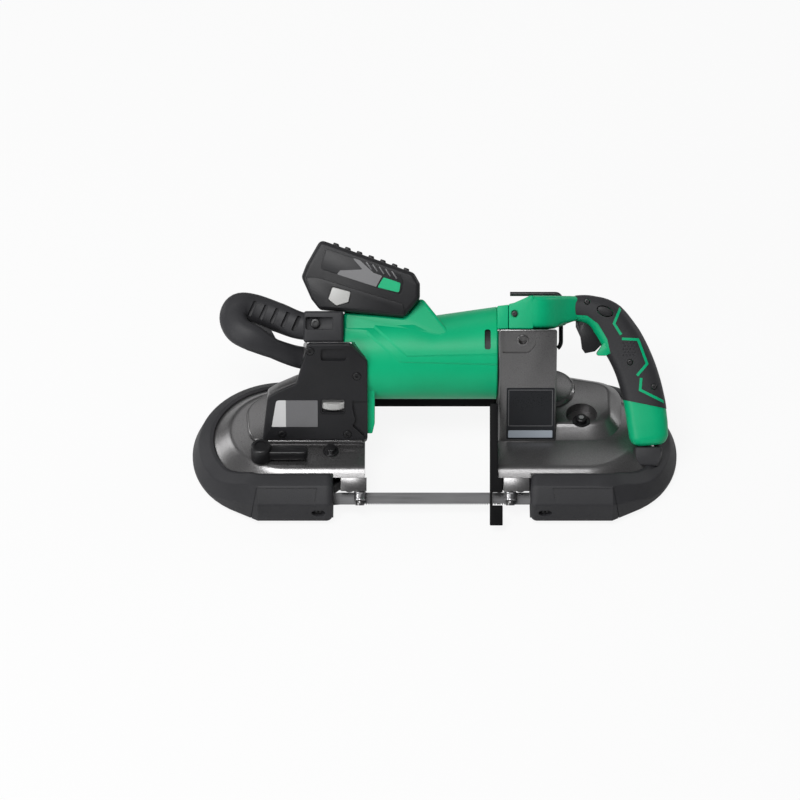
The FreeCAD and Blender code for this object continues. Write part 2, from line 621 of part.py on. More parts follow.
def spur(teeth, module, width, bore, phase):
    """Spur wheel about the z axis with straight flanks and working backlash."""
    tip = module * (teeth / 2 + 0.8)
    root = module * (teeth / 2 - 1.1)
    pitch = 2 * math.pi / teeth
    points = []
    for tooth in range(teeth):
        middle = tooth * pitch + phase
        for radius, part in ((root, -0.23), (tip, -0.08), (tip, 0.08), (root, 0.23)):
            points.append((radius * math.cos(middle + part * pitch),
                           radius * math.sin(middle + part * pitch), 0))
    wheel = Part.Face(outline(points)).extrude(V(0, 0, width))
    return wheel.cut(Part.makeCylinder(bore, width))


def bevel(teeth, mate, module, face, bore, phase):
    """Straight bevel wheel under its apex at the origin, axis up."""
    cone_angle = math.atan2(teeth, mate)
    reach = module * math.hypot(teeth, mate) / 2
    tip = cone_angle + 0.75 * module / reach
    root = cone_angle - 1.05 * module / reach
    pitch = 2 * math.pi / teeth

    def spot(distance, angle, turn):
        return (distance * math.sin(angle) * math.cos(turn), distance * math.sin(angle) * math.sin(turn),
                -distance * math.cos(angle))
    solids = []
    sunk = root - 0.03
    for tooth in range(teeth):
        middle = tooth * pitch + phase
        wires = []
        for distance in (reach, reach - face):
            wires.append(outline([spot(distance, sunk, middle - 0.24 * pitch), spot(distance, tip,
                middle - 0.07 * pitch),
                                  spot(distance, tip, middle + 0.07 * pitch), spot(distance, sunk,
                                      middle + 0.24 * pitch)]))
        solids.append(Part.makeLoft(wires, True, True))
    near = reach - face
    back = reach * math.cos(root) + 2.5
    points = [(bore, 0, -near * math.cos(root)), (near * math.sin(root), 0, -near * math.cos(root)),
              (reach * math.sin(root), 0, -reach * math.cos(root)), (reach * math.sin(root), 0, -back),
              (bore, 0, -back)]
    body = Part.Face(outline(points)).revolve(V(), V(0, 0, 1), 360)
    return body.multiFuse(solids)


# Gear train: spur wheel on the output shaft, jack shaft with pinion and bevel wheel, bevel pinion on the rotor.
outX = size("axisX")
jackX = size("jackX")
gearY = size("motorY")
meshAngle = math.atan2(gearY, jackX - outX)
outputWheel = spur(int(size("outputTeeth")), size("spurModule"), size("spurWidth"),
                   size("outputShaftRadius"), meshAngle)
outputWheel.translate(V(outX, 0, size("spurFloor")))
seat_flat(shaped("output_spur", outputWheel), "output_gear")
shaftTop = "spurFloor + spurWidth + 8"
outShaft = join("output_rod", rod("output_stem", "outputShaftRadius", "%s - wheelFloor + 2" % shaftTop,
                                  ("axisX", "0", "wheelFloor - 2")),
                rod("output_nut", "outputShaftRadius + 4", "2.5", ("axisX", "0", "wheelFloor - 3")))
seat_flat(outShaft, "output_shaft")
teeth = int(size("pinionTeeth"))
pinion = spur(teeth, size("spurModule"), size("spurWidth") + 2, size("jackShaftRadius"),
              meshAngle + math.pi + math.pi / teeth)
pinion.translate(V(jackX, gearY, size("spurFloor") - 1))
seat_flat(shaped("jack_spur", pinion), "jack_pinion")
crown = bevel(int(size("bevelGearTeeth")), int(size("bevelPinionTeeth")), size("bevelModule"),
              size("bevelFace"),
              size("jackShaftRadius"), 0)
crown.translate(V(jackX, gearY, size("motorZ")))
seat_flat(shaped("crown_wheel", crown), "bevel_gear")
jackRod = rod("jack_rod", "jackShaftRadius", "motorZ - bevelPinionRadius - spurFloor + 4", ("jackX",
    "motorY", "spurFloor - 1"))
seat_flat(group("jack_shaft_piece", jackRod), "jack_shaft")
small = int(size("bevelPinionTeeth"))
star = bevel(small, int(size("bevelGearTeeth")), size("bevelModule"), size("bevelFace"),
             size("motorShaftRadius"),
             math.pi / small)
star.rotate(V(), V(0, 1, 0), 90)
star.translate(V(jackX, gearY, size("motorZ")))
seat_flat(shaped("bevel_star", star), "bevel_pinion")

jackBearings = []
for index, (x, y, floor, outer, inner) in enumerate((
        ("axisX", "0", "roofHeight - wallThick - gearBearingWidth", "outBearingRadius", "outputShaftRadius"),
        ("jackX", "motorY", "lowPlate", "jackBearingRadius", "jackShaftRadius"),
        ("jackX", "motorY", "highPlate", "jackBearingRadius", "jackShaftRadius"))):
    jackBearings.append(trim("gear_ring_%d" % index, rod("gear_race_%d" % index, outer, "gearBearingWidth",
                                                         (x, y, floor)),
                             rod("gear_bore_%d" % index, inner + " + shaftFit", "gearBearingWidth", (x, y,
                                 floor))))
seat_flat(group("gear_rings", *jackBearings), "gear_bearings")
plates = [block("jack_low", ("gearTowerLeft + towerWall", "gearTowerRight - towerWall"), ("24",
    "towerDepth - towerWall"),
                ("lowPlate", "lowPlate + gearBearingWidth")),
          block("jack_high", ("gearTowerLeft + towerWall", "gearTowerRight - towerWall"), ("24",
              "towerDepth - towerWall"),
                ("highPlate", "highPlate + gearBearingWidth")),
          block("jack_back", ("gearTowerLeft + towerWall", "gearTowerRight - towerWall"),
                ("towerDepth - towerWall - 6", "towerDepth - towerWall"), ("lowPlate",
                    "highPlate + gearBearingWidth"))]
jackHole = rod("jack_hole", "jackBearingRadius", "80", ("jackX", "motorY", "lowPlate - 5"))
seat_flat(trim("jack_frame", join("jack_plates", *plates), jackHole), "jack_carrier")

# Motor: green shell, end plates, stator, rotor, fan and bearings along x.
axis = ("gripPlane", "motorHeight")
core = join("rotor_core", rod("rotor_stack", "rotorRadius", "statorRight - statorLeft", ("statorLeft",
    *axis), "x"),
            rod("rotor_shaft", "motorShaftRadius", "jackX - bevelGearRadius + 9 - endPlateX - 5",
                ("endPlateX + 5", *axis), "x"))
seat_cut(core, "motor_rotor")
lamination = trim("stator_ring", rod("stator_out", "statorRadius", "statorRight - statorLeft",
                                     ("statorLeft", *axis), "x"),
                  rod("stator_in", "rotorRadius + 0.6", "statorRight - statorLeft", ("statorLeft", *axis),
                      "x"))
seat_cut(lamination, "motor_stator")
fanDisc = trim("fan_disc", join("fan_body", rod("fan_plate", "fanRadius", "2", ("fanX", *axis), "x"),
                                rod("fan_hub", "motorShaftRadius + 4", "fanWidth", ("fanX", *axis), "x")),
               rod("fan_bore", "motorShaftRadius", "fanWidth", ("fanX", *axis), "x"))
vanes = []
for index in range(10):
    vane = Part.makeBox(size("fanWidth") - 1, 1.6, size("fanRadius") - 12, V(size("fanX") + 1, -0.8, 11))
    vane.rotate(V(), V(1, 0, 0), 36 * index)
    vane.translate(V(0, size("gripPlane"), size("motorHeight")))
    vanes.append(shaped("fan_vane_%d" % index, vane))
seat_cut(join("fan_wheel", fanDisc, *vanes), "motor_fan")
races = []
for index, start in enumerate(("endPlateX + 6", "motorRight - 10")):
    races.append(trim("motor_ring_%d" % index, rod("motor_race_%d" % index, "motorBearingRadius",
                                                   "motorBearingWidth", (start, *axis), "x"),
                      rod("motor_bore_%d" % index, "motorShaftRadius + shaftFit", "motorBearingWidth",
                          (start, *axis), "x")))
seat_cut(group("motor_rings", *races), "motor_bearings")
inner = "motorRadius - motorWall"
rightEnd = trim("right_plate", rod("right_disc", inner, "10", ("motorRight - 11", *axis), "x"),
                rod("right_seat", "motorBearingRadius", "30", ("motorRight - 20", *axis), "x"))
seat_cut(rightEnd, "motor_front_plate")
grab = math.radians(size("packLean"))
along = V(math.cos(grab), 0, -math.sin(grab))
upward = V(math.sin(grab), 0, math.cos(grab))
packCentre = V(size("packX"), 0, size("packZ"))


def pack_point(forward, rise):
    spot = packCentre + along * forward + upward * rise
    return (spot.x, spot.z)


floorRise = -size("packHeight") / 2
shelf = [(-97, size("motorHeight")), (-97, size("motorHeight") + 30), pack_point(-20, floorRise - 0.5),
         pack_point(size("packLength") / 2 + 1, floorRise - 0.5), pack_point(size("packLength") / 2 + 1,
             floorRise + 26),
         pack_point(size("packLength") / 2 + 6, floorRise + 26), (2, size("motorHeight") + 41), (10,
             size("motorHeight"))]
packSide = size("packPlane")


def pack_space(grown):
    """Room taken by the battery above its seat."""
    right = size("packLength") / 2 + 1 + grown
    return slab(packSide - 60, packSide + 60, [pack_point(-90, floorRise - 0.5 - grown), pack_point(right,
        floorRise - 0.5 - grown),
                                               pack_point(right, floorRise + 80), pack_point(-90,
                                                   floorRise + 80)])


def lean(shape):
    """Set a piece drawn about the battery's centre on the sloping seat."""
    shape.rotate(V(), V(0, 1, 0), size("packLean"))
    shape.translate(V(packCentre.x, size("packPlane"), packCentre.z))
    return shape


terminalBox = lean(Part.makeBox(26, 30, 8, V(8, -15, floorRise - 8.5)))
leftEnd = trim("left_plate", rod("left_disc", inner, "14", ("endPlateX", *axis), "x"),
               rod("left_seat", "motorBearingRadius", "30", ("endPlateX + 4", *axis), "x"),
               shaped("left_clip", pack_space(4).fuse(terminalBox)))
seat_cut(leftEnd, "motor_end_plate")
seatBlock = shaped("pack_seat", slab(packSide - 30, packSide + 30, shelf))
tube = rod("motor_tube", "motorRadius", "motorRight - motorLeft", ("motorLeft", *axis), "x")
tubeRoom = trim("motor_room", rod("motor_tube_room", inner, "motorRight - motorLeft", ("motorLeft", *axis),
                                  "x"),
                shaped("motor_room_clip", pack_space(4)))
slots = [block("motor_vent_%d" % index, ("43 + %d * 6" % index, "46 + %d * 6" % index), ("gripPlane - 60",
    "gripPlane - 30"),
               ("motorHeight + 4", "motorHeight + 26")) for index in range(2)]
ribs = trim("motor_ribs", rod("motor_rib_out", inner, "statorRight - statorLeft - 8", ("statorLeft + 4",
    *axis), "x"),
            rod("motor_rib_in", "statorRadius", "statorRight - statorLeft - 8", ("statorLeft + 4", *axis),
                "x"))


def turn_to_cut(shape):
    """Carry a shape from the wheel frame into the cutting frame."""
    shape.translate(V(0, size("wheelRadius"), -size("cutHeight")))
    shape.rotate(V(), V(1, 0, 0), size("bladeTwist"))
    return shape


towerKeep = shaped("idler_tower_keep", turn_to_cut(idler_tower_solid()))
shell = trim("motor_case", join("motor_case_solid", tube, seatBlock), tubeRoom, towerKeep,
             shaped("pack_clear", pack_space(0)),
             shaped("terminal_clear", terminalBox), *slots)
seat_cut(join("motor_case_ribbed", shell, ribs), "motor_housing")

# Rear handle: one outline in the grip plane, rounded, hollowed and split into two halves with a rubber skin.
outerArcs = [((130.5, 213.5), None, (172, 212.5)), ((172, 212.5), (197, 203), (212, 183)),
             ((212, 183), (234, 138), (245.5, 85)), ((245.5, 85), None, (246, 62))]
toe = [((246, 62), None, (240, 56)), ((240, 56), None, (213, 56)), ((213, 56), None, (204, 68))]
innerArcs = [((204, 68), None, (201.5, 95)), ((201.5, 95), (193, 129), (176, 163)), ((176, 163), (163.5,
    180), (146, 187)),
             ((146, 187), None, (128, 180))]
root = [((128, 180), None, (68, 180)), ((68, 180), None, (68, 198)), ((68, 198), None, (77, 203)),
        ((77, 203), None, (86.6, 204.7)), ((86.6, 204.7), None, (97, 213.5)), ((97, 213.5), None, (130.5,
            213.5))]


def handle_wire(depth):
    """Outline of the handle from lines and arcs."""
    edges = []
    for start, middle, end in root + outerArcs + toe + innerArcs:
        points = [V(spot[0], depth, spot[1]) for spot in (start, middle, end) if spot]
        edges.append(Part.Arc(*points).toShape() if middle else Part.LineSegment(*points).toShape())
    return Part.Wire(edges)


def handle_inset(inset):
    """Points of the handle outline drawn in by a distance."""
    spots = []
    for edge in handle_wire(0).OrderedEdges:
        count = 10 if edge.Curve.TypeId == "Part::GeomCircle" else 2
        spots += edge.discretize(count)[:-1]
    drawn = []
    for index, spot in enumerate(spots):
        before = spot - spots[index - 1]
        after = spots[(index + 1) % len(spots)] - spot
        before.normalize()
        after.normalize()
        middle = before + after
        middle.normalize()
        stretch = inset / max(0.4, abs(middle.dot(before)))
        drawn.append((spot.x + middle.z * stretch, spot.z - middle.x * stretch))
    return drawn


def handle_solid():
    """Handle body with eased edges."""
    plane = size("gripPlane")
    half = size("handleHalf")
    wires = []
    for depth, inset in ((-half, 6), (-half + 3, 2.2), (-half + 8, 0), (half - 8, 0), (half - 3, 2.2),
                         (half, 6)):
        wires.append(outline([(x, plane + depth, z) for x, z in handle_inset(inset)]))
    return Part.makeLoft(wires, True, True)


capFront = size("gripPlane") - 57
capRear = size("gripPlane") + 43
capOutline = [(66, 178), (66, 198), (77, 203), (86.6, 204.7), (97, 213.5), (122, 213.5), (128, 206), (128,
    178)]
cap = slab(capFront, capRear, capOutline)
capRims = [edge for edge in cap.Edges if edge.BoundBox.YLength < 0.01 and edge.BoundBox.ZMax > 198.5]
cap = cap.makeFillet(4, capRims)
capRoom = slab(capFront + 4, capRear - 4, [(70, 170), (70, 194), (80, 199), (88, 201), (98, 209), (120,
    209), (124, 204), (124, 170)])
outerHandle = handle_solid()
plane = size("gripPlane")
coreHalf = size("handleHalf - gripSkin")
skinCore = slab(plane - coreHalf, plane + coreHalf, handle_inset(size("gripSkin")))
hollowHalf = size("handleHalf - gripSkin - shellWall")
hollow = slab(plane - hollowHalf, plane + hollowHalf,
              [(76, 186), (76, 196), (100, 206), (130, 207), (170, 205), (186, 199), (198, 188), (209, 170),
               (224, 139),
               (232, 109), (236, 78), (236, 66), (213, 66), (210, 97), (207, 109), (201, 132), (193, 151),
               (182, 169),
               (174, 181), (161, 191.5), (146, 194.5), (127, 187.5)])
gripZone = slab(plane - 30, plane + 30, [(152, 230), (147, 206), (152, 196), (160, 190), (150, 170), (190,
    100), (197, 104),
                                         (236, 97), (262, 102), (262, 230)])
skin = outerHandle.common(gripZone).cut(skinCore)
shellBody = outerHandle.cut(gripZone).fuse(skinCore).fuse(cap)
triggerSlot = Part.makeBox(40, 2 * size("triggerHalf") + 1, 46, V(140, plane - size("triggerHalf") - 0.5,
                                                                  150))
lockHole = Part.makeCylinder(size("lockRadius") + 0.3, 30, V(size("lockX"), plane - 30, size("lockZ")), V(0,
    1, 0))
lockRoom = Part.makeCylinder(size("lockRadius") + 1.5, hollowHalf, V(size("lockX"), plane - hollowHalf,
    size("lockZ")), V(0, 1, 0))
lockHole = lockHole.fuse(lockRoom)
shellBody = shellBody.cut(turn_to_cut(dome(1, size("driveThroatX"), 0)))
shellBody = shellBody.cut(hollow).cut(capRoom).cut(triggerSlot).cut(lockHole)
skin = skin.cut(triggerSlot).cut(lockHole)
hookPlane = plane + 26
hookRadius = size("hookThick") / 2
hookRise = size("capTop + hookGap") + hookRadius
hookBore = Part.makeCylinder(hookRadius + size("shaftFit"), 80, V(60, hookPlane, hookRise), V(1, 0, 0))
saddles = [Part.makeBox(7, 12, hookRise + hookRadius + 3.5 - size("capTop"), V(left, hookPlane - 6,
    size("capTop") - 1.5))
           for left in (98, 113.5)]
for sign, word in ((-1, "front"), (1, "rear")):
    keep = Part.makeBox(300, 80, 300, V(0, plane - 80 if sign < 0 else plane, 0))
    halfShell = shellBody.common(keep)
    if sign > 0:
        halfShell = halfShell.fuse(saddles[0]).fuse(saddles[1]).cut(hookBore)
    seat_cut(shaped("handle_half_" + word, halfShell), "handle_%s_shell" % word)
seat_cut(shaped("grip_skin", skin), "grip_sleeve")

# Trigger on a pivot, switch behind it and the lock button through the front side.
reachTrigger = [(149, 187), (149, 181), (154, 170), (155.5, 158), (159, 153), (169, 155), (177, 163), (168,
    178), (158, 186)]
trigger = slab(plane - size("triggerHalf"), plane + size("triggerHalf"), reachTrigger)
pivotBore = Part.makeCylinder(2.5, 40, V(size("triggerX") + 4, plane - 20, size("triggerZ") - 3), V(0, 1, 0))
seat_cut(shaped("trigger_blade", trigger.cut(pivotBore)), "trigger")
triggerPin = Part.makeCylinder(2.46, 2 * size("triggerHalf") + 1, V(size("triggerX") + 4,
    plane - size("triggerHalf") - 0.5,
                                                                  size("triggerZ") - 3), V(0, 1, 0))
seat_cut(shaped("trigger_pin_rod", triggerPin), "trigger_pin")
switchBox = Part.makeBox(26, 2 * hollowHalf, 9.5, V(130, plane - hollowHalf, 195.5))
seat_cut(shaped("switch_box", switchBox), "switch_module")
lockButton = Part.makeCylinder(size("lockRadius"), 14, V(size("lockX"), plane - size("handleHalf") - 3,
                                                         size("lockZ")), V(0, 1, 0))
lockFlange = Part.makeCylinder(size("lockRadius") + 1, 2, V(size("lockX"), plane - hollowHalf + 0.3,
                                                            size("lockZ")), V(0, 1, 0))
seat_cut(shaped("lock_push", lockButton.fuse(lockFlange)), "lock_button")

# Hanging hook: a bent rod turning in two saddles on the handle root, with its drop behind the handle.
hookEnd = size("hookEnd")
hookBend = size("hookBend")
hookLow = hookRise - 50
hookPath = [Part.LineSegment(V(80, hookPlane, hookRise), V(hookEnd - hookBend, hookPlane,
                                                           hookRise)).toShape(),
            Part.Arc(V(hookEnd - hookBend, hookPlane, hookRise),
                     V(hookEnd - hookBend * 0.2929, hookPlane, hookRise - hookBend * 0.2929),
                     V(hookEnd, hookPlane, hookRise - hookBend)).toShape(),
            Part.LineSegment(V(hookEnd, hookPlane, hookRise - hookBend), V(hookEnd, hookPlane,
                hookLow)).toShape(),
            Part.Arc(V(hookEnd, hookPlane, hookLow), V(hookEnd - 0.94, hookPlane, hookLow - 4.23),
                     V(hookEnd - 3.57, hookPlane, hookLow - 7.66)).toShape()]
hookMouth = Part.Wire(Part.makeCircle(hookRadius, V(80, hookPlane, hookRise), V(1, 0, 0)))
hook = Part.Wire(hookPath).makePipeShell([hookMouth], True, True)
seat_cut(shaped("hook_bar", hook), "hanging_hook")


# Battery pack on its sloping seat, drawn level and then leaned.
packLong = size("packLength") / 2
packHalf = size("packHalf")
packTall = size("packHeight") / 2
packOutline = [(-packLong + 6, -packTall), (packLong - 16, -packTall), (packLong, -packTall + 18),
               (packLong, packTall - 10),
               (packLong - 8, packTall), (-packLong + 12, packTall), (-packLong, packTall - 26), (-packLong,
                   -packTall + 10)]
case = slab(-packHalf, packHalf, packOutline)
sideEdges = [edge for edge in case.Edges if edge.BoundBox.YLength < 0.01]
case = case.makeFillet(5, sideEdges)
roomLong = size("packLength") - 34
roomTall = 4 * size("cellRadius") + 2.9
room = Part.makeBox(roomLong, size("cellLength") + 1, roomTall, V(-packLong + 12,
                                                                  -size("cellLength") / 2 - 0.5,
                                                                  -packTall + 7))
case = case.cut(room)
latchRooms = []
for sign in (-1, 1):
    latchRooms.append(Part.makeBox(24, 7, 16, V(-packLong + 17, sign * packHalf - (0 if sign < 0 else 7),
                                                -packTall + 2)))
for hole in latchRooms:
    case = case.cut(hole)
seat_cut(shaped("pack_case", lean(case)), "battery_case")
cells = []
cellStep = (roomLong - 2 * size("cellRadius") - 2) / 2
for row in range(2):
    for column in range(3):
        spot = V(-packLong + 13 + size("cellRadius") + column * cellStep, -size("cellLength") / 2,
                 -packTall + 7.05 + size("cellRadius") + row * (2 * size("cellRadius") + 1.4))
        cells.append(Part.makeCylinder(size("cellRadius"), size("cellLength"), spot, V(0, 1, 0)))
seat_cut(shaped("pack_cells", lean(Part.makeCompound(cells))), "battery_cells")
for sign, word in ((-1, "front"), (1, "rear")):
    start = -packHalf - 1 if sign < 0 else packHalf - 3.5
    push = Part.makeBox(23, 4.5, 15, V(-packLong + 17.5, start, -packTall + 2.5))
    seat_cut(shaped("latch_" + word, lean(push)), "battery_latch_" + word)
seat_cut(shaped("terminal_piece", terminalBox), "terminal_block")


# Front handle: a bent grip loop from a socket on top of the idler tower to its side.
loop = Part.BSplineCurve()
loop.interpolate([V(-125, -5, 178), V(-165, 2, 191), V(-195, 3, 200), V(-212, -6, 192), V(-208, -18, 175),
                  V(-190, -21, 163),
                  V(-168, -13, 156), V(-130, 14, 147)])
start = loop.value(loop.FirstParameter)
tangent = loop.tangent(loop.FirstParameter)[0]
mouth = Part.Wire(Part.makeCircle(size("frontGripRadius"), start, tangent))
bent = Part.Wire(loop.toShape()).makePipeShell([mouth], True, True)
socket = Part.makeBox(34, 34, 33, V(-137, -18, 164))
socketEdges = [edge for edge in socket.Edges if edge.BoundBox.XLength < 0.01 and edge.BoundBox.XMin < -136]
socket = socket.makeFillet(3, socketEdges)
frontLoop = bent.fuse(socket).cut(turn_to_cut(idler_tower_solid())).removeSplitter()
frontLoop = max(frontLoop.Solids, key=lambda solid: solid.Volume)
seat_cut(shaped("front_loop", frontLoop), "front_handle")


# Control cover on the leaning front of the idler tower, with the speed dial in its window.
thick = size("coverPlate")
cover = slab(-thick, 0, [(-133, 116), (-89, 116), (-71, 96), (-71, 4), (-182, 4), (-176, 54), (-165, 61),
                         (-146, 70), (-142, 84)])
rims = [edge for edge in cover.Edges if edge.BoundBox.YLength < 0.01 and edge.BoundBox.YMin < -thick + 0.01]
cover = cover.makeFillet(1.5, rims)
dialX = -size("dialX")
dialRise = size("dialRise")
dialDepth = size("dialRadius") - thick - 1.5
window = Part.makeBox(28, 40, 19, V(dialX - 14, -20, dialRise - 9.5))
lugs = [Part.makeBox(10, dialDepth + 3, 3.5, V(dialX - 5, -1, dialRise + rise)) for rise in (-13.5, 10)]
dialPin = Part.makeCylinder(2, 24, V(dialX, dialDepth, dialRise - 12))
cover = cover.fuse(lugs[0]).fuse(lugs[1]).cut(window)
spots = [(-131, 108), (-82, 79), (-161, 11), (-92, 11)]
shanks = [Part.makeCylinder(2.2, thick, V(x, -thick, rise), V(0, 1, 0)) for x, rise in spots]
heads = [Part.makeCylinder(3.8, 1.6, V(x, -thick - 1.6, rise), V(0, 1, 0)) for x, rise in spots]
for shank in shanks:
    cover = cover.cut(shank)
seat_flat(shaped("cover_plate", lean_front(cover.fuse(dialPin).removeSplitter())), "control_cover")
seat_flat(shaped("cover_screw_set", lean_front(Part.makeCompound([a.fuse(b) for a, b in zip(shanks,
    heads)]))), "cover_screws")
dial = Part.makeCylinder(size("dialRadius"), size("dialThick"), V(dialX, dialDepth,
                                                                  dialRise - size("dialThick") / 2)).cut(
    Part.makeCylinder(2.05, 40, V(dialX, dialDepth, dialRise - 20)))
seat_flat(shaped("dial_wheel", lean_front(dial)), "speed_dial")
board = Part.makeBox(size("idlerTowerLeft - idlerTowerRight") - 2 * size("towerWall"), 2, 74,
                     V(-size("idlerTowerLeft") + size("towerWall"), 27, 20))
seat_flat(shaped("board", lean_front(board)), "controller_board")

# Bolts standing on the castings: tension stop bolt, gear case bolt and tower screw.
bolts = [Part.makeCylinder(5.5, 5, V(-110, -33, size("roofHeight"))),
         Part.makeCylinder(5, 7, V(size("axisX") - 4, 10, size("roofHeight") + 1))]
seat_flat(shaped("case_bolt_set", Part.makeCompound(bolts)), "case_bolts")

doc.recompute()
os.makedirs("parts", exist_ok=True)
for thing in subparts:
    broken = [word for word in thing.State if word in ("Invalid", "Error")]
    if broken or thing.Shape.isNull() or not thing.Shape.isValid() or not thing.Shape.Solids:
        raise RuntimeError("sub-part failed: " + thing.Label)
    box = thing.Shape.BoundBox
    print(thing.Label, len(thing.Shape.Solids), round(thing.Shape.Volume),
          [round(v, 1) for v in (box.XMin, box.XMax, box.YMin, box.YMax, box.ZMin, box.ZMax)])
    thing.Shape.exportStep("parts/%s.step" % thing.Label)
print(len(subparts), "sub-parts written")
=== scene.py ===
import json
import math
import bmesh
import bpy
from mathutils import Matrix, Vector


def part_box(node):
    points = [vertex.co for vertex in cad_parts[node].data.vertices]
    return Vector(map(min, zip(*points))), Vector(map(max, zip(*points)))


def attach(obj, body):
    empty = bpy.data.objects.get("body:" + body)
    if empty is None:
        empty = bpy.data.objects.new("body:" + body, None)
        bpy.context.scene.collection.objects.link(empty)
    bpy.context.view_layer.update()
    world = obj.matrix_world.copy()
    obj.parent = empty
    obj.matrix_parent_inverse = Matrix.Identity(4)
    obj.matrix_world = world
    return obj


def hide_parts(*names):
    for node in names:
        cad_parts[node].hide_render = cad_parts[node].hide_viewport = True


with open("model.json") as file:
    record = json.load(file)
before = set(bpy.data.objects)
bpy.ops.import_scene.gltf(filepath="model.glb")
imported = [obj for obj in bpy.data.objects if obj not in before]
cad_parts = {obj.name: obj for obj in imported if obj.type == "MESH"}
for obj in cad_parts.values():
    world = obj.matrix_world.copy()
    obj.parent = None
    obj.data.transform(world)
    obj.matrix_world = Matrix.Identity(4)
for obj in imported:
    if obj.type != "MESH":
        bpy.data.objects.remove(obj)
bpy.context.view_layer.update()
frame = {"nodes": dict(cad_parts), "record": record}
nodes = frame["nodes"]
bodyOf = {node: body for body, members in frame["record"]["behaviour"]["bodies"].items() for node in members}
slotOf = {entry["node"]: entry["material_slot"] for entry in frame["record"]["subparts"]}
mm = 0.001
print("frame loaded:", len(nodes), "nodes")

# the saw's own frames: the cutting plane is turned 45 degrees, the cover face leans 19 degrees
saw = {"axisLine": -21.34, "bladeOut": 80, "bladeHeight": 22, "twist": 45, "coverLean": 19, "coverFoot": (0, -18, 45)}
axisLine = saw["axisLine"] * mm
twist, coverLean = math.radians(saw["twist"]), math.radians(saw["coverLean"])
cutOrigin = Vector((0, axisLine - saw["bladeOut"] * mm, saw["bladeHeight"] * mm))
cutFrame = Matrix.Translation(cutOrigin) @ Matrix.Rotation(-twist, 4, "X") @ Matrix.Scale(mm, 4)
flatFrame = Matrix.Translation((0, axisLine, 0)) @ Matrix.Scale(mm, 4)
leanFrame = flatFrame @ Matrix.Translation(saw["coverFoot"]) @ Matrix.Rotation(-coverLean, 4, "X")


class Value:
    # one socket of a material; sums and products of sockets add their Math nodes
    def __init__(self, finish, socket):
        self.finish = finish
        self.socket = socket

    def math(self, operation, first, second):
        return self.finish.node("ShaderNodeMath", {"operation": operation}, {0: first, 1: second})

    def __add__(self, other):
        return self.math("ADD", self, other)

    def __sub__(self, other):
        return self.math("SUBTRACT", self, other)

    def __mul__(self, other):
        return self.math("MULTIPLY", self, other)

    __radd__ = __add__


class Finish:
    def __init__(self, name, **constants):
        self.material = bpy.data.materials.new(name)
        self.material.use_nodes = True
        self.tree = self.material.node_tree
        self.shader = self.tree.nodes["Principled BSDF"]
        for key, value in constants.items():
            self.shader.inputs[key].default_value = value

    def node(self, kind, settings=None, sockets=None, out=0):
        made = self.tree.nodes.new(kind)
        for key, value in (settings or {}).items():
            setattr(made, key, value)
        for key, value in (sockets or {}).items():
            self.feed(self.pick(made.inputs, key), value)
        return Value(self, self.pick(made.outputs, out))

    def pick(self, sockets, key):
        if isinstance(key, int):
            return sockets[key]
        for socket in sockets:
            if socket.identifier == key:
                return socket
        return sockets[key]

    def feed(self, socket, value):
        if isinstance(value, Value):
            self.tree.links.new(value.socket, socket)
        else:
            socket.default_value = value

    def coords(self):
        return self.node("ShaderNodeTexCoord", out="Object")

    def noise(self, scale, detail=3.0, rough=0.5, where=None):
        return self.node("ShaderNodeTexNoise", {"noise_dimensions": "3D"},
                         {"Vector": where or self.coords(), "Scale": scale, "Detail": detail, "Roughness": rough},
                         "Fac")

    def grain(self, scale):
        return self.node("ShaderNodeTexVoronoi", {"feature": "F1"}, {"Vector": self.coords(), "Scale": scale},
                         "Distance")

    def ramp(self, value, low, high):
        return self.node("ShaderNodeMapRange", {}, {"Value": value, "From Min": low, "From Max": high}, "Result")

    def mix(self, factor, first, second):
        return self.node("ShaderNodeMix", {"data_type": "RGBA"},
                         {"Factor_Float": factor, "A_Color": first, "B_Color": second}, "Result_Color")

    def bump(self, height, distance):
        return self.node("ShaderNodeBump", {}, {"Height": height, "Distance": distance, "Strength": 1.0}, "Normal")

    def paint(self, **sockets):
        for key, value in sockets.items():
            self.feed(self.shader.inputs[key.replace("_", " ")], value)
        return self.material


def moulded(name, dark, light, rough, grainScale, depth, shine=0.5):
    # moulded plastic or rubber: slow tone drift, fine spark grain and a rougher, duller bloom
    made = Finish(name, **{"Specular IOR Level": shine})
    drift = made.noise(14.0, 4.0)
    fine = made.noise(900.0, 2.0)
    blend = made.ramp(drift, 0.3, 0.7) * 0.75 + made.ramp(fine, 0.3, 0.7) * 0.25
    tone = made.mix(blend, dark + (1,), light + (1,))
    spark = made.grain(grainScale)
    return made.paint(Base_Color=tone, Roughness=rough + (drift - 0.5) * 0.12 + (fine - 0.5) * 0.08,
                      Normal=made.bump(spark + fine * 0.5, depth))


def metal(name, dark, light, rough, grainScale, depth, metallic, stretch=None):
    # coated, cast or machined metal with a metallic fleck
    made = Finish(name, Metallic=metallic)
    where = made.coords()
    if stretch:
        where = made.node("ShaderNodeMapping", {}, {"Vector": where, "Scale": stretch}, "Vector")
    fleck = made.noise(grainScale, 3.0, 0.6, where)
    cloud = made.noise(9.0, 5.0)
    blend = made.ramp(fleck, 0.32, 0.68) * 0.6 + made.ramp(cloud, 0.3, 0.7) * 0.4
    tone = made.mix(blend, dark + (1,), light + (1,))
    return made.paint(Base_Color=tone, Roughness=rough + (fleck - 0.5) * 0.16 + (cloud - 0.5) * 0.12,
                      Normal=made.bump(fleck, depth))


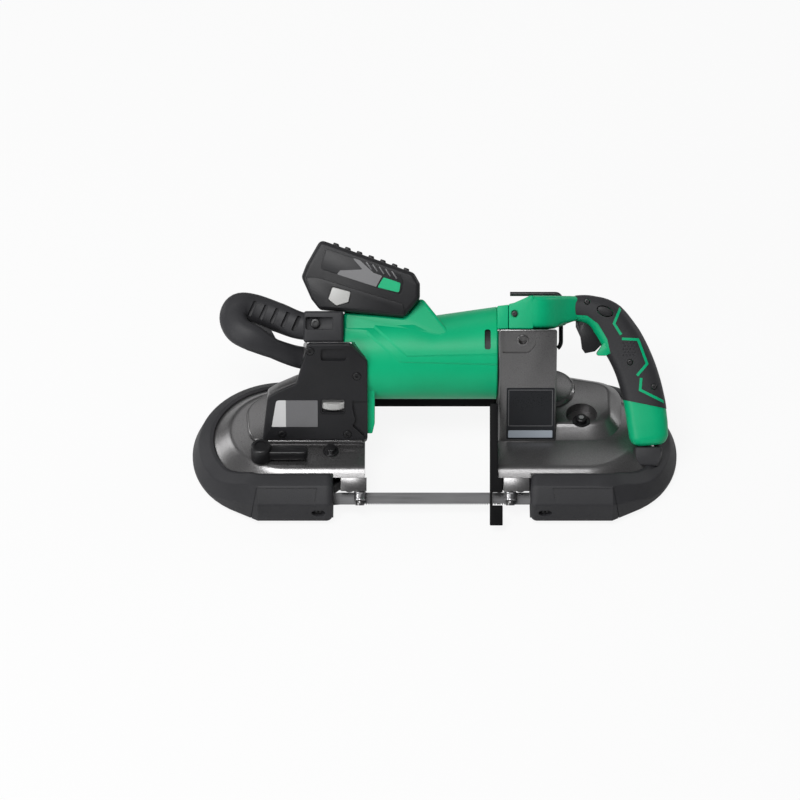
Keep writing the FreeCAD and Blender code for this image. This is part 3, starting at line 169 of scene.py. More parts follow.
# by slot: name, dark and light tone, roughness, grain scale and depth, then shine
plastics = {
    "green_plastic": ("green shell plastic", (0.0, 0.345, 0.145), (0.0, 0.415, 0.182), 0.40, 1500.0, 0.00004, 0.24),
    "grey_label": ("grey label film", (0.12, 0.12, 0.125), (0.15, 0.15, 0.155), 0.34, 900.0, 0.00001),
    "pale_label": ("pale label film", (0.52, 0.52, 0.52), (0.60, 0.60, 0.60), 0.34, 900.0, 0.00001),
    "dark_label": ("dark label film", (0.010, 0.011, 0.013), (0.016, 0.017, 0.020), 0.3, 900.0, 0.00001, 0.24),
    "band_label": ("band label film", (0.30, 0.34, 0.39), (0.36, 0.40, 0.45), 0.34, 900.0, 0.00001),
    "black_plastic": ("black nylon", (0.012, 0.012, 0.013), (0.020, 0.020, 0.022), 0.40, 1300.0, 0.00006, 0.24),
    "black_rubber": ("black rubber", (0.022, 0.022, 0.024), (0.033, 0.033, 0.036), 0.50, 1000.0, 0.00008, 0.24),
    # near-black dull paint: the work stop's own black paint; on the rear beam this very dark tone also stands in for
    # the shade under the motor barrel (painted shade)
    "black_paint_and_shade": ("black stove paint and painted shade", (0.005, 0.005, 0.0055), (0.009, 0.009, 0.0095), 0.55, 1300.0, 0.00004, 0.06),
    "tyre_rubber": ("tyre rubber", (0.03, 0.03, 0.03), (0.05, 0.05, 0.05), 0.7, 900.0, 0.00008),
    "pale_plastic": ("pale plastic", (0.40, 0.40, 0.39), (0.50, 0.50, 0.49), 0.42, 1300.0, 0.00004),
    "board": ("board lacquer", (0.02, 0.12, 0.05), (0.03, 0.18, 0.08), 0.35, 700.0, 0.00002),
    "cell_wrap": ("cell wrap", (0.10, 0.14, 0.30), (0.14, 0.19, 0.38), 0.3, 700.0, 0.00001),
}
# the same, then metallic share and stretch of the grain
metals = {
    "cast_metal": ("grey casting coat", (0.13, 0.128, 0.129), (0.21, 0.207, 0.208), 0.30, 1100.0, 0.00005, 0.85),
    "steel": ("machined steel", (0.36, 0.36, 0.37), (0.50, 0.50, 0.51), 0.30, 700.0, 0.00001, 1.0),
    "blade_steel": ("rolled blade steel", (0.11, 0.11, 0.112), (0.18, 0.18, 0.184), 0.44, 500.0, 0.00001, 0.8,
                    (0.05, 1, 1)),
    "dark_steel": ("black oxide steel", (0.008, 0.008, 0.009), (0.015, 0.015, 0.016), 0.36, 900.0, 0.00003, 0.2),
}
finishes = {slot: moulded(*row) for slot, row in plastics.items()}
finishes.update({slot: metal(*row) for slot, row in metals.items()})
print("finishes made:", len(finishes))


def place(mesh, name):
    made = bpy.data.objects.new(name, mesh)
    bpy.context.scene.collection.objects.link(made)
    return made


def applied(piece):
    # live modifiers become plain mesh
    graph = bpy.context.evaluated_depsgraph_get()
    mesh = bpy.data.meshes.new_from_object(piece.evaluated_get(graph))
    piece.modifiers.clear()
    piece.data = mesh
    return piece


def smooth(piece, angle=35):
    for face in piece.data.polygons:
        face.use_smooth = True
    piece.data.set_sharp_from_angle(angle=math.radians(angle))
    return piece


def merged(node):
    # copy of a solid with its flat faces made whole
    piece = place(nodes[node].data.copy(), node + "Skin")
    soft = bmesh.new()
    soft.from_mesh(piece.data)
    bmesh.ops.remove_doubles(soft, verts=soft.verts, dist=0.02 * mm)
    bmesh.ops.dissolve_limit(soft, angle_limit=math.radians(0.6), verts=soft.verts, edges=soft.edges)
    soft.to_mesh(piece.data)
    soft.free()
    return piece


def dressed(node, finish=None, edge=0.0):
    # a merged copy of a solid, with eased edges where asked
    piece = merged(node)
    if edge:
        eases(piece, edge * mm, 2, 35)
    return show(smooth(piece), node, finish)


def show(piece, node, finish=None):
    slot = finish or slotOf[node]
    piece.data.materials.clear()
    piece.data.materials.append(finishes[slot])
    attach(piece, bodyOf[node])
    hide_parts(node)
    return piece


def eased(points, steps=5):
    # corner points (x, z, radius) become a rounded outline
    made = []
    for index, (x, z, *radius) in enumerate(points):
        here = Vector((x, z))
        before = Vector(points[index - 1][:2]) - here
        after = Vector(points[(index + 1) % len(points)][:2]) - here
        reach = radius[0] if radius else 0
        half = before.angle(after) / 2
        run = min(reach / math.tan(half), before.length * 0.48, after.length * 0.48) if reach else 0
        if run < 0.05:
            made.append(here)
            continue
        start = here + before.normalized() * run
        end = here + after.normalized() * run
        for step in range(steps + 1):
            t = step / steps
            made.append(start * (1 - t) ** 2 + here * 2 * t * (1 - t) + end * t ** 2)
    return [(spot.x, spot.y) for spot in made]


def flowing(points, steps=6):
    # smooth run through 3-D points
    spots = [Vector(point) for point in points]
    spots = [spots[0] * 2 - spots[1]] + spots + [spots[-1] * 2 - spots[-2]]
    made = []
    for index in range(1, len(spots) - 2):
        a, b, c, d = spots[index - 1:index + 3]
        for step in range(steps):
            t = step / steps
            bend, sway = 2 * a - 5 * b + 4 * c - d, 3 * b - a - 3 * c + d
            made.append(0.5 * (2 * b + (c - a) * t + bend * t * t + sway * t ** 3))
    return made + [spots[-2]]


def fromShape(name, shape):
    mesh = bpy.data.meshes.new(name)
    bmesh.ops.recalc_face_normals(shape, faces=shape.faces)
    shape.to_mesh(mesh)
    shape.free()
    return place(mesh, name)


def oblong(left, low, right, high, *radius):
    # corner points of a rectangle
    return [(left, low, *radius), (right, low, *radius), (right, high, *radius), (left, high, *radius)]


def plate(name, outline, low, high, edge=0.0, segments=3, limit=25):
    # flat piece in local millimetres: outline in x and z, thickness along y
    shape = bmesh.new()
    base = shape.faces.new([shape.verts.new((x, low, z)) for x, z in outline])
    lifted = bmesh.ops.extrude_face_region(shape, geom=[base])["geom"]
    corners = [item for item in lifted if isinstance(item, bmesh.types.BMVert)]
    bmesh.ops.translate(shape, vec=(0, high - low, 0), verts=corners)
    piece = fromShape(name, shape)
    return eases(piece, edge, segments, limit) if edge else piece


def eases(piece, edge, segments=3, limit=25):
    ease = piece.modifiers.new("ease", "BEVEL")
    ease.width = edge
    ease.segments = segments
    ease.limit_method = "ANGLE"
    ease.angle_limit = math.radians(limit)
    return applied(piece)


def loft(name, rings):
    # capped skin over rings of points, all of one count
    shape = bmesh.new()
    rows = [[shape.verts.new(spot) for spot in ring] for ring in rings]
    for low, high in zip(rows, rows[1:]):
        for index in range(len(low)):
            after = (index + 1) % len(low)
            shape.faces.new((low[index], low[after], high[after], high[index]))
    shape.faces.new(rows[0])
    shape.faces.new(rows[-1])
    return fromShape(name, shape)


def inset(outline, by):
    # outline moved inwards along its own corner normals
    count = len(outline)
    area = sum(outline[i - 1][0] * outline[i][1] - outline[i][0] * outline[i - 1][1] for i in range(count))
    turn = math.copysign(1, area)
    made = []
    for index, spot in enumerate(outline):
        before = (Vector(spot) - Vector(outline[index - 1])).normalized()
        after = (Vector(outline[(index + 1) % count]) - Vector(spot)).normalized()
        side = Vector((-before.y - after.y, before.x + after.x)).normalized()
        made.append(Vector(spot) + side * (turn * by / max(0.6, side.dot(Vector((-after.y, after.x))))))
    return [(spot.x, spot.y) for spot in made]


def pillow(name, outline, low, high, edge, steps=5, lean=None):
    # flat piece with fully rounded rims; lean sets the low face back above a level
    turns = [math.pi / 2 * step / steps for step in range(steps + 1)]
    half = [(edge * (1 - math.sin(turn)), edge * (1 - math.cos(turn))) for turn in turns]
    levels = [(low + rise, by, True) for by, rise in half] + [(high - rise, by, False) for by, rise in half[::-1]]
    rings = []
    for y, by, near in levels:
        back = [max(0, z - lean[0]) * lean[1] if lean and near else 0 for x, z in outline]
        rings.append([(x, y + push, z) for (x, z), push in zip(inset(outline, by), back)])
    return loft(name, rings)


def swept(name, path, widths, heights, up=(0, 0, 1), sides=20, power=2.4):
    # rounded bar along a path; widths across, heights along the up side
    rings = []
    count = len(path)
    for index, spot in enumerate(path):
        ahead = (path[min(index + 1, count - 1)] - path[max(index - 1, 0)]).normalized()
        across = ahead.cross(Vector(up)).normalized()
        rise = across.cross(ahead).normalized()
        share = index / (count - 1)
        wide, tall = (between(sizes, share) / 2 for sizes in (widths, heights))
        ring = []
        for side in range(sides):
            turn = 2 * math.pi * side / sides
            c, s = math.cos(turn), math.sin(turn)
            ring.append(spot + across * (wide * math.copysign(abs(c) ** (2 / power), c))
                        + rise * (tall * math.copysign(abs(s) ** (2 / power), s)))
        rings.append(ring)
    return loft(name, rings)


def between(values, share):
    # value along an even list
    spot = share * (len(values) - 1)
    index = min(int(spot), len(values) - 2)
    return values[index] + (values[index + 1] - values[index]) * (spot - index)


def carve(piece, cutter, operation="DIFFERENCE", keep=False):
    cut = piece.modifiers.new("cut", "BOOLEAN")
    cut.operation = operation
    cut.solver = "EXACT"
    cut.object = cutter
    applied(piece)
    if not keep:
        bpy.data.objects.remove(cutter)
    return piece


def cylinder(name, radius, low, high, at=(0, 0), along="Y", edge=0.0, sides=40):
    # turned piece along one local axis through a point of the other two
    rings = []
    for height in (low, high):
        ring = []
        for side in range(sides):
            turn = 2 * math.pi * side / sides
            p, q = at[0] + radius * math.cos(turn), at[1] + radius * math.sin(turn)
            ring.append({"X": (height, p, q), "Y": (p, height, q), "Z": (p, q, height)}[along])
        rings.append(ring)
    piece = loft(name, rings)
    return eases(piece, edge) if edge else piece


def roundBox(name, low, high, edge=1.0, segments=3):
    return plate(name, oblong(low[0], low[2], high[0], high[2]), low[1], high[1], edge, segments)


def block(name, size, edge, segments):
    # eased box about its own middle
    return roundBox(name, [-long / 2 for long in size], [long / 2 for long in size], edge, segments)


def joined(name, *pieces):
    shape = bmesh.new()
    for piece in pieces:
        shape.from_mesh(piece.data)
        bpy.data.objects.remove(piece)
    mesh = bpy.data.meshes.new(name)
    shape.to_mesh(mesh)
    shape.free()
    return place(mesh, name)


def moved(piece, matrix):
    piece.data.transform(matrix)
    return piece


def settle(piece, frameMatrix, angle=35):
    # out of local millimetres into the saw's own frame
    piece.data.transform(frameMatrix)
    return smooth(piece, angle)


def extra(piece, node, slot, finish=None):
    # added detail that rides with the body of a node
    piece.data.materials.clear()
    piece.data.materials.append(finishes[finish or slot])
    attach(piece, bodyOf[node])
    return piece


def row(start, step, count, y):
    # even run of spots on one plane
    return [(start[0] + index * step[0], y, start[1] + index * step[1]) for index in range(count)]


def repeated(name, template, spots, finish, turn=(0, 0, 0)):
    # one small shape set on every spot by a node tree, then made plain mesh
    tree = bpy.data.node_groups.new(name + "Tree", "GeometryNodeTree")
    ports = {}
    for label, kind, way in (("Spots", "Geometry", "INPUT"), ("Shape", "Object", "INPUT"),
                             ("Turn", "Rotation", "INPUT"),
                             ("Finish", "Material", "INPUT"), ("Result", "Geometry", "OUTPUT")):
        ports[label] = tree.interface.new_socket(label, in_out=way, socket_type="NodeSocket" + kind).identifier
    start, end = tree.nodes.new("NodeGroupInput"), tree.nodes.new("NodeGroupOutput")
    kinds = ("ObjectInfo", "InstanceOnPoints", "RealizeInstances", "SetMaterial")
    shape, spread, real, coat = (tree.nodes.new("GeometryNode" + kind) for kind in kinds)
    for source, out, target, into in ((start, "Spots", spread, "Points"), (start, "Shape", shape, "Object"),
                                      (shape, "Geometry", spread, "Instance"), (start, "Turn", spread, "Rotation"),
                                      (spread, "Instances", real, "Geometry"), (real, "Geometry", coat, "Geometry"),
                                      (start, "Finish", coat, "Material"), (coat, "Geometry", end, "Result")):
        tree.links.new(source.outputs[out], target.inputs[into])
    mesh = bpy.data.meshes.new(name)
    mesh.from_pydata(spots, [], [])
    piece = place(mesh, name)
    repeat = piece.modifiers.new("repeat", "NODES")
    repeat.node_group = tree
    for label, value in (("Shape", template), ("Turn", turn), ("Finish", finishes[finish])):
        repeat[ports[label]] = value
    applied(piece)
    bpy.data.objects.remove(template)
    return piece


def screwShape(radius, height, socket):
    # round head with a six-sided socket, its face towards -y
    head = cylinder("screwShape", radius, -height, 0.0, edge=height * 0.3, sides=24)
    return carve(head, cylinder("screwSocket", socket, -height - 1, -height * 0.35, sides=6))


# battery pack: eased case, label panel, ribs, skirt and side latches
pack = {
    "outline": [(-120.4, 272, 7), (-22, 237.1, 8), (-15.8, 226, 5), (-15.8, 210, 9), (-32, 190.8, 6),
        (-121.5, 199, 6), (-129.9, 209.6, 5), (-140.3, 232.9, 7), (-135.2, 246, 7)], "front": -15.0, "rear": 59.0,
    "ease": 5.0, "panel": [(-114, 262.5, 3), (-36, 235.2, 4), (-33.5, 228, 3), (-36, 214, 4), (-121, 241.5, 4)],
    "panelRise": 0.7,
    "skirt": [(-136, 232, 3), (-124, 232.5, 3), (-34, 204.5, 3), (-31.5, 194, 3), (-119, 201.5, 3), (-129, 212, 3)],
    "panelDeep": 3.0, "skirtRise": 1.3, "skirtDeep": 4.0, "bandRise": 0.15,
    "latch": [(-107.7, 222.4, 2), (-88.6, 217.1, 2), (-90.8, 206.4, 3), (-103.5, 202.6, 3), (-112, 209.6, 2)],
    "latchRise": 2.2, "latchDeep": 3.0, "latchGap": 0.8, "latchRoom": 6.5, "roomRise": 6.0,
    "greyBand": [(-87, 253, 1), (-79, 250.3, 1), (-64.5, 237, 1), (-55.5, 233.9, 1), (-62, 222.4, 1),
        (-103, 235.6, 1), (-99.5, 239.6, 1), (-76, 240.6, 1)],
    "greenBand": [(-54, 232.4, 1), (-36.2, 226.4, 2), (-37.8, 216.4, 2), (-60.5, 221.9, 1)],
    "ribStart": (-69.5, 244.6), "ribStep": (6.7, -2.45), "ribs": 5, "ribSize": (1.5, 2.4, 9.5), "ribLean": 34,
    "ribRise": 0.4, "ridgeStart": (-104, 267.4), "ridgeEnd": (-30, 241.1), "ridges": 7, "ridgeSize": (6.0, 52.0, 2.4),
    "ridgeLean": 19.5}


def layer(name, points, side, rise, deep, *ease):
    # flat piece on the front (-1) or rear (1) face of the pack
    face = pack["front"] if side < 0 else pack["rear"]
    return plate(name, eased(points), *sorted((face + side * rise, face - side * deep)), *ease)


def makePack():
    case = plate("batteryCase", eased(pack["outline"]), pack["front"], pack["rear"], pack["ease"], 4)
    sides, ribSpots, trims = [], [], {"grey": [], "green": []}
    for side, face in ((-1, pack["front"]), (1, pack["rear"])):
        sides.append(layer("batteryPanel", pack["panel"], side, pack["panelRise"], pack["panelDeep"], 0.5, 2))
        skirt = layer("batterySkirt", pack["skirt"], side, pack["skirtRise"], pack["skirtDeep"], 1.0, 3)
        rim = [(*spot[:2], 2) for spot in grown(pack["latch"], pack["latchGap"])]
        hole = layer("latchRoom", rim, side, pack["roomRise"], pack["latchRoom"])
        carve(case, hole, keep=True)
        sides.append(carve(skirt, hole))
        for tone, bands in trims.items():
            bands.append(layer("batteryBand", pack[tone + "Band"], side, pack["panelRise"] + pack["bandRise"], 0))
        ribSpots += row(pack["ribStart"], pack["ribStep"], pack["ribs"], face + side * pack["ribRise"])
    long, deep, tall = pack["ridgeSize"]
    ridge = roundBox("ridgeShape", (-long / 2, -deep / 2, -tall), (long / 2, deep / 2, tall / 2), 1.0, 2)
    step = [(end - start) / (pack["ridges"] - 1) for start, end in zip(pack["ridgeStart"], pack["ridgeEnd"])]
    spots = row(pack["ridgeStart"], step, pack["ridges"], (pack["front"] + pack["rear"]) / 2)
    ridges = repeated("batteryRidges", ridge, spots, "black_plastic", (0, math.radians(pack["ridgeLean"]), 0))
    rib = block("ribShape", pack["ribSize"], 0.6, 2)
    ribs = repeated("batteryRibs", rib, ribSpots, "black_plastic", (0, math.radians(-pack["ribLean"]), 0))
    whole = joined("batteryCaseSkin", case, ridges, *sides)
    extra(settle(ribs, cutFrame), "battery_case", "pale_plastic", "grey_label")
    show(settle(whole, cutFrame), "battery_case")
    extra(settle(joined("batteryGreyBand", *trims["grey"]), cutFrame), "battery_case", "pale_plastic", "grey_label")
    extra(settle(joined("batteryGreenBand", *trims["green"]), cutFrame), "battery_case", "green_plastic")
    for side, word in ((-1, "front"), (1, "rear")):
        latch = layer("latch", pack["latch"], side, pack["latchRise"], pack["latchDeep"], 0.9, 3)
        show(settle(latch, cutFrame), "battery_latch_" + word)


def grown(points, by):
    # corner points moved out from their middle
    cx = sum(point[0] for point in points) / len(points)
    cz = sum(point[1] for point in points) / len(points)
    made = []
    for x, z, *rest in points:
        away = Vector((x - cx, z - cz))
        away = away * (1 + by / away.length)
        made.append((cx + away.x, cz + away.y, *rest))
    return made


makePack()
print("battery pack made")


# front handle: bent rubber grip with slanted slots, growing out of a bolted socket
loop = {
    "path": [(-118, -3, 180), (-142, -1, 182), (-165, 2, 190.5), (-190, 3, 199.5), (-206, -2, 201), (-212, -8, 190),
        (-206, -16, 177), (-190, -19, 168), (-169, -12, 157.5), (-146, 4, 149.5), (-128, 14, 147)],
    "across": [28, 29, 31, 31, 30, 29, 29, 28, 21, 23, 25], "deep": [28, 28, 28, 28, 28, 28, 26, 22, 20, 22, 24],
    "slotStart": (-191.7, 199.5), "slotStep": (11.5, -3.85), "slots": 5, "slotSize": (4.4, 14.0, 17.0),
    "slotLean": 24, "slotFace": -14.5, "socket": ((-138, -18.5, 164), (-96, 16, 197)),
    "window": ((-136, -30, 177.5), (-107, -12, 190.8)), "bolt": (-125.7, -12.0, 184.2), "boltRadius": 5.2,
    "boltTall": 3.5, "web": [(-206, 190, 2), (-172, 177, 2), (-167, 168, 1), (-186, 163, 2), (-206, 172, 2)],
    "webFaces": (-14.0, -4.0)}


def makeFrontHandle():
    path = flowing(loop["path"], 7)
    bar = swept("frontGrip", path, loop["across"], loop["deep"], (0, 1, 0), 28, 2.5)
    slot = block("slotShape", loop["slotSize"], 1.2, 2)
    spots = row(loop["slotStart"], loop["slotStep"], loop["slots"], loop["slotFace"])
    carve(bar, repeated("gripSlots", slot, spots, "black_rubber", (0, math.radians(loop["slotLean"]), 0)))
    socket = roundBox("gripSocket", *loop["socket"], 3.0, 4)
    web = plate("gripWeb", eased(loop["web"]), *loop["webFaces"], 1.0, 2)
    carve(bar, socket, "UNION")
    carve(bar, roundBox("gripWindow", *loop["window"], 1.5, 2))
    show(settle(joined("frontHandleSkin", bar, web), cutFrame), "front_handle")
    bolt = screwShape(loop["boltRadius"], loop["boltTall"], loop["boltRadius"] * 0.5)
    extra(settle(repeated("gripBolt", bolt, [loop["bolt"]], "dark_steel"), cutFrame), "front_handle", "dark_steel")


# control cover on the leaning tower face
cover = {
    "outline": [(-133, 116, 2), (-89, 116, 4), (-71, 96, 4), (-71, 4, 2), (-182, 4, 2), (-176, 54, 6), (-165, 61, 5),
        (-146, 70, 5), (-142, 84, 3)], "thick": 6.0, "ease": 1.4,
    "scoop": [(-120, 97, 3), (-93, 97, 3), (-93, 111, 5), (-120, 111, 5)], "scoopDeep": 3.0,
    "notch": [(-87, 50, 1.5), (-66, 50), (-66, 3), (-75, 3), (-75, 9, 1), (-87, 21, 2), (-84, 28, 1.5),
        (-87, 42, 1.5)], "notchDeep": 3.0, "window": oblong(-119, 36, -95.5, 51, 1.5), "dish": (2.6, 1.2),
    "lug": (-112, -102, 3.5), "label": [(-172, 20, 1), (-123.5, 20, 1), (-123.5, 51, 1), (-167, 51, 4)],
    "labelSplit": -157, "screws": [(-131, 108), (-82, 79), (-161, 11), (-92, 11)], "screwRadius": 4.2,
    "screwSink": 1.6}


def makeCover():
    thick = cover["thick"]
    body = plate("coverPlate", eased(cover["outline"]), -thick, 0, cover["ease"], 3)
    above, sunk = -thick - 2, -thick + cover["screwSink"]
    for word in ("scoop", "notch"):
        carve(body, plate(word, eased(cover[word]), above, -thick + cover[word + "Deep"]))
    carve(body, plate("window", eased(cover["window"]), above, 2))
    spread, deep = cover["dish"]
    rim = [(x, z, radius + spread) for x, z, radius in grown(cover["window"], spread)]
    carve(body, plate("dish", eased(rim), above, -thick + deep))
    pits = [cylinder("screwPit", cover["screwRadius"] + 0.5, above, sunk, spot, sides=32) for spot in cover["screws"]]
    carve(body, joined("screwPits", *pits))
    low, high = cover["window"][0][1], cover["window"][2][1]
    left, right, tall = cover["lug"]
    lugs = [roundBox("lug", (left, -1, foot), (right, 10, foot + tall), 0.5, 1) for foot in (low - tall, high)]
    show(settle(joined("controlCoverSkin", body, *lugs), leanFrame), "control_cover")
    first, second, third, fourth = cover["label"]
    split, bottom, top = cover["labelSplit"], first[1], third[1]
    film = -thick - 0.25, -thick + 0.5
    pale = plate("coverLabelPale", eased([first, (split, bottom), (split, top), fourth]), *film)
    dark = plate("coverLabelDark", eased([(split, bottom), second, third, (split, top)]), *film)
    extra(settle(pale, leanFrame), "control_cover", "pale_plastic", "pale_label")
    extra(settle(dark, leanFrame), "control_cover", "black_plastic", "grey_label")
    spots = [(x, sunk + 0.2, z) for x, z in cover["screws"]]
    screws = repeated("coverScrews", screwShape(cover["screwRadius"], 2.2, 2.0), spots, "dark_steel")
    show(settle(screws, leanFrame), "cover_screws", "dark_steel")


# knurled thumbwheel on an upright pin
dial = {"radius": 15.0, "half": 3.5, "notches": 44, "deep": 0.8, "ease": 0.9}


def makeDial():
    rings = []
    half, ease = dial["half"], dial["ease"]
    for height, by in ((-half, ease), (-half + ease, 0), (half - ease, 0), (half, ease)):
        ring = []
        for step in range(dial["notches"] * 4):
            radius = dial["radius"] - by - (dial["deep"] if step % 4 < 2 else 0.0)
            turn = 2 * math.pi * step / (dial["notches"] * 4)
            ring.append((radius * math.cos(turn), radius * math.sin(turn), height))
        rings.append(ring)
    low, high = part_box("speed_dial")
    middle = (Vector(low) + Vector(high)) / 2
    lean = Matrix.Translation(middle) @ Matrix.Rotation(-coverLean, 4, "X") @ Matrix.Scale(mm, 4)
    show(settle(loft("speedDialSkin", rings), lean, 25), "speed_dial")


makeFrontHandle()
print("front handle made")
makeCover()
makeDial()
print("control cover made")


# rear handle: green shell with a soft black grip, green inlays, screws and an oval lock button
grip = {
    "path": [(112, 197), (128, 197), (147, 200), (165.5, 198), (181.5, 188.5), (197, 167), (208.5, 145),
        (216.3, 123), (221.5, 100), (224.5, 79), (226, 64.5), (226.6, 58.5), (226.8, 56)], "plane": 28.0,
    "across": [33, 33, 27, 31, 40, 43, 42.4, 42.6, 43.4, 43, 41, 34, 24], "deep": [34] * 10 + [33, 28, 20],
    "power": 3.0, "sides": 48, "steps": 6,
    "sleeve": [(147.4, 230), (149, 208.5), (141.1, 198), (145.3, 193.7), (160.1, 192.7), (172, 184), (181.5, 168),
        (185, 152.6), (172, 146), (180, 130), (195, 104.6), (262, 91), (262, 230)], "sleeveRise": 0.5, "reach": 20,
    "inlays": [[(197, 204), (188.7, 184.2), (196.1, 172.6)], [(197, 168.2), (214.1, 167.3), (223.6, 141.9),
        (213, 129.5)], [(217.3, 127), (216.2, 114.3), (242, 101.5)]], "inlayWide": 2.8, "inlayRise": 0.35,
    "inlayDeep": 5, "pitOpen": 4, "screwShape": (3.1, 1.9, 1.5),
    "screws": [(205.6, 143.4), (231, 117.5), (160.4, 207.4)], "screwRadius": 3.4, "screwDepth": 3.0,
    "lockSpot": (179.2, 197.2), "lockSize": (8.4, 4.7), "lockTilt": -22, "lockGap": 0.8, "lockRoom": 6,
    "lockFaces": (-1.4, 10), "triggerRoom": (138, 150, 174, 187), "triggerHalf": 8.6, "halfRoom": (0, 0, 300, 300),
    "halfEnds": (-80, 150), "seam": 0.1, "dotSpot": (203.5, 157.5), "dotStep": (3.6, 3.2), "dotRows": 5,
    "dotColumns": 4,
    "lip": [(178, 164, 1), (170.6, 153, 2.5), (172.5, 150.6, 2.5), (181, 150.5, 2), (185, 154, 1), (188, 162, 1)],
    "lipHalf": 13.0}
cap = {
    "collar": [(65.4, 178.4, 1), (65.4, 202.2, 1), (76.6, 203.6, 1), (76.6, 178.4, 1)],
    "shell": [(77.2, 178.4, 1.4), (77.2, 204.2, 1.4), (83, 205.6, 7), (98.6, 212.6, 4), (103, 213.3, 1.4),
        (103, 178.4, 1.4)],
    "neck": [(99, 23.5, 47.6, 178.4, 213.4), (106, 23.5, 47.4, 178.4, 213.4), (113, 23.8, 46.2, 178.5, 213.4),
        (120, 24.6, 42.6, 178.6, 213.4), (127, 25.8, 36.4, 179.4, 213.4), (132, 26.6, 31.2, 182.4, 213.4),
        (138, 27.3, 25.2, 184.6, 213.4), (144, 27.8, 20, 186, 213.2), (150, 28, 16, 188, 212)], "neckPower": 9.0,
    "near": -24.0, "far": 71.0, "ease": 1.0, "collarEase": 0.6, "screw": (83.4, 194.0), "screwRadius": 4.2,
    "screwDepth": 3}


def swollen(piece, by, name):
    # copy pushed out along its own normals
    copy = place(piece.data.copy(), name)
    pushes = [vertex.normal.copy() for vertex in copy.data.vertices]
    for vertex, push in zip(copy.data.vertices, pushes):
        vertex.co += push * by
    return copy


def ribbon(points, wide):
    # closed band of even width along a run of corners
    spots = [Vector(point) for point in points]
    left, right = [], []
    for index, spot in enumerate(spots):
        before = spot - spots[index - 1] if index else spots[1] - spots[0]
        after = spots[index + 1] - spot if index + 1 < len(spots) else before
        ahead = (before.normalized() + after.normalized()).normalized()
        side = Vector((-ahead.y, ahead.x)) * (wide / 2 / max(0.5, ahead.dot(after.normalized())))
        left.append(spot + side)
        right.append(spot - side)
    return [(spot.x, spot.y) for spot in left + right[::-1]]


def oval(spot, size, tilt, count=36):
    turn = math.radians(tilt)
    rim = []
    for step in range(count):
        angle = 2 * math.pi * step / count
        u, v = size[0] * math.cos(angle), size[1] * math.sin(angle)
        rim.append((spot[0] + u * math.cos(turn) - v * math.sin(turn),
                    spot[1] + u * math.sin(turn) + v * math.cos(turn)))
    return rim


def neckRing(x, middle, half, low, high, sides=48):
    ring = []
    for side in range(sides):
        turn = 2 * math.pi * (side + 0.5) / sides
        c, s = math.cos(turn), math.sin(turn)
        y, z = (math.copysign(abs(value) ** (2 / cap["neckPower"]), value) for value in (c, s))
        ring.append((x, middle + half * y, (low + high) / 2 + (high - low) / 2 * z))
    return ring


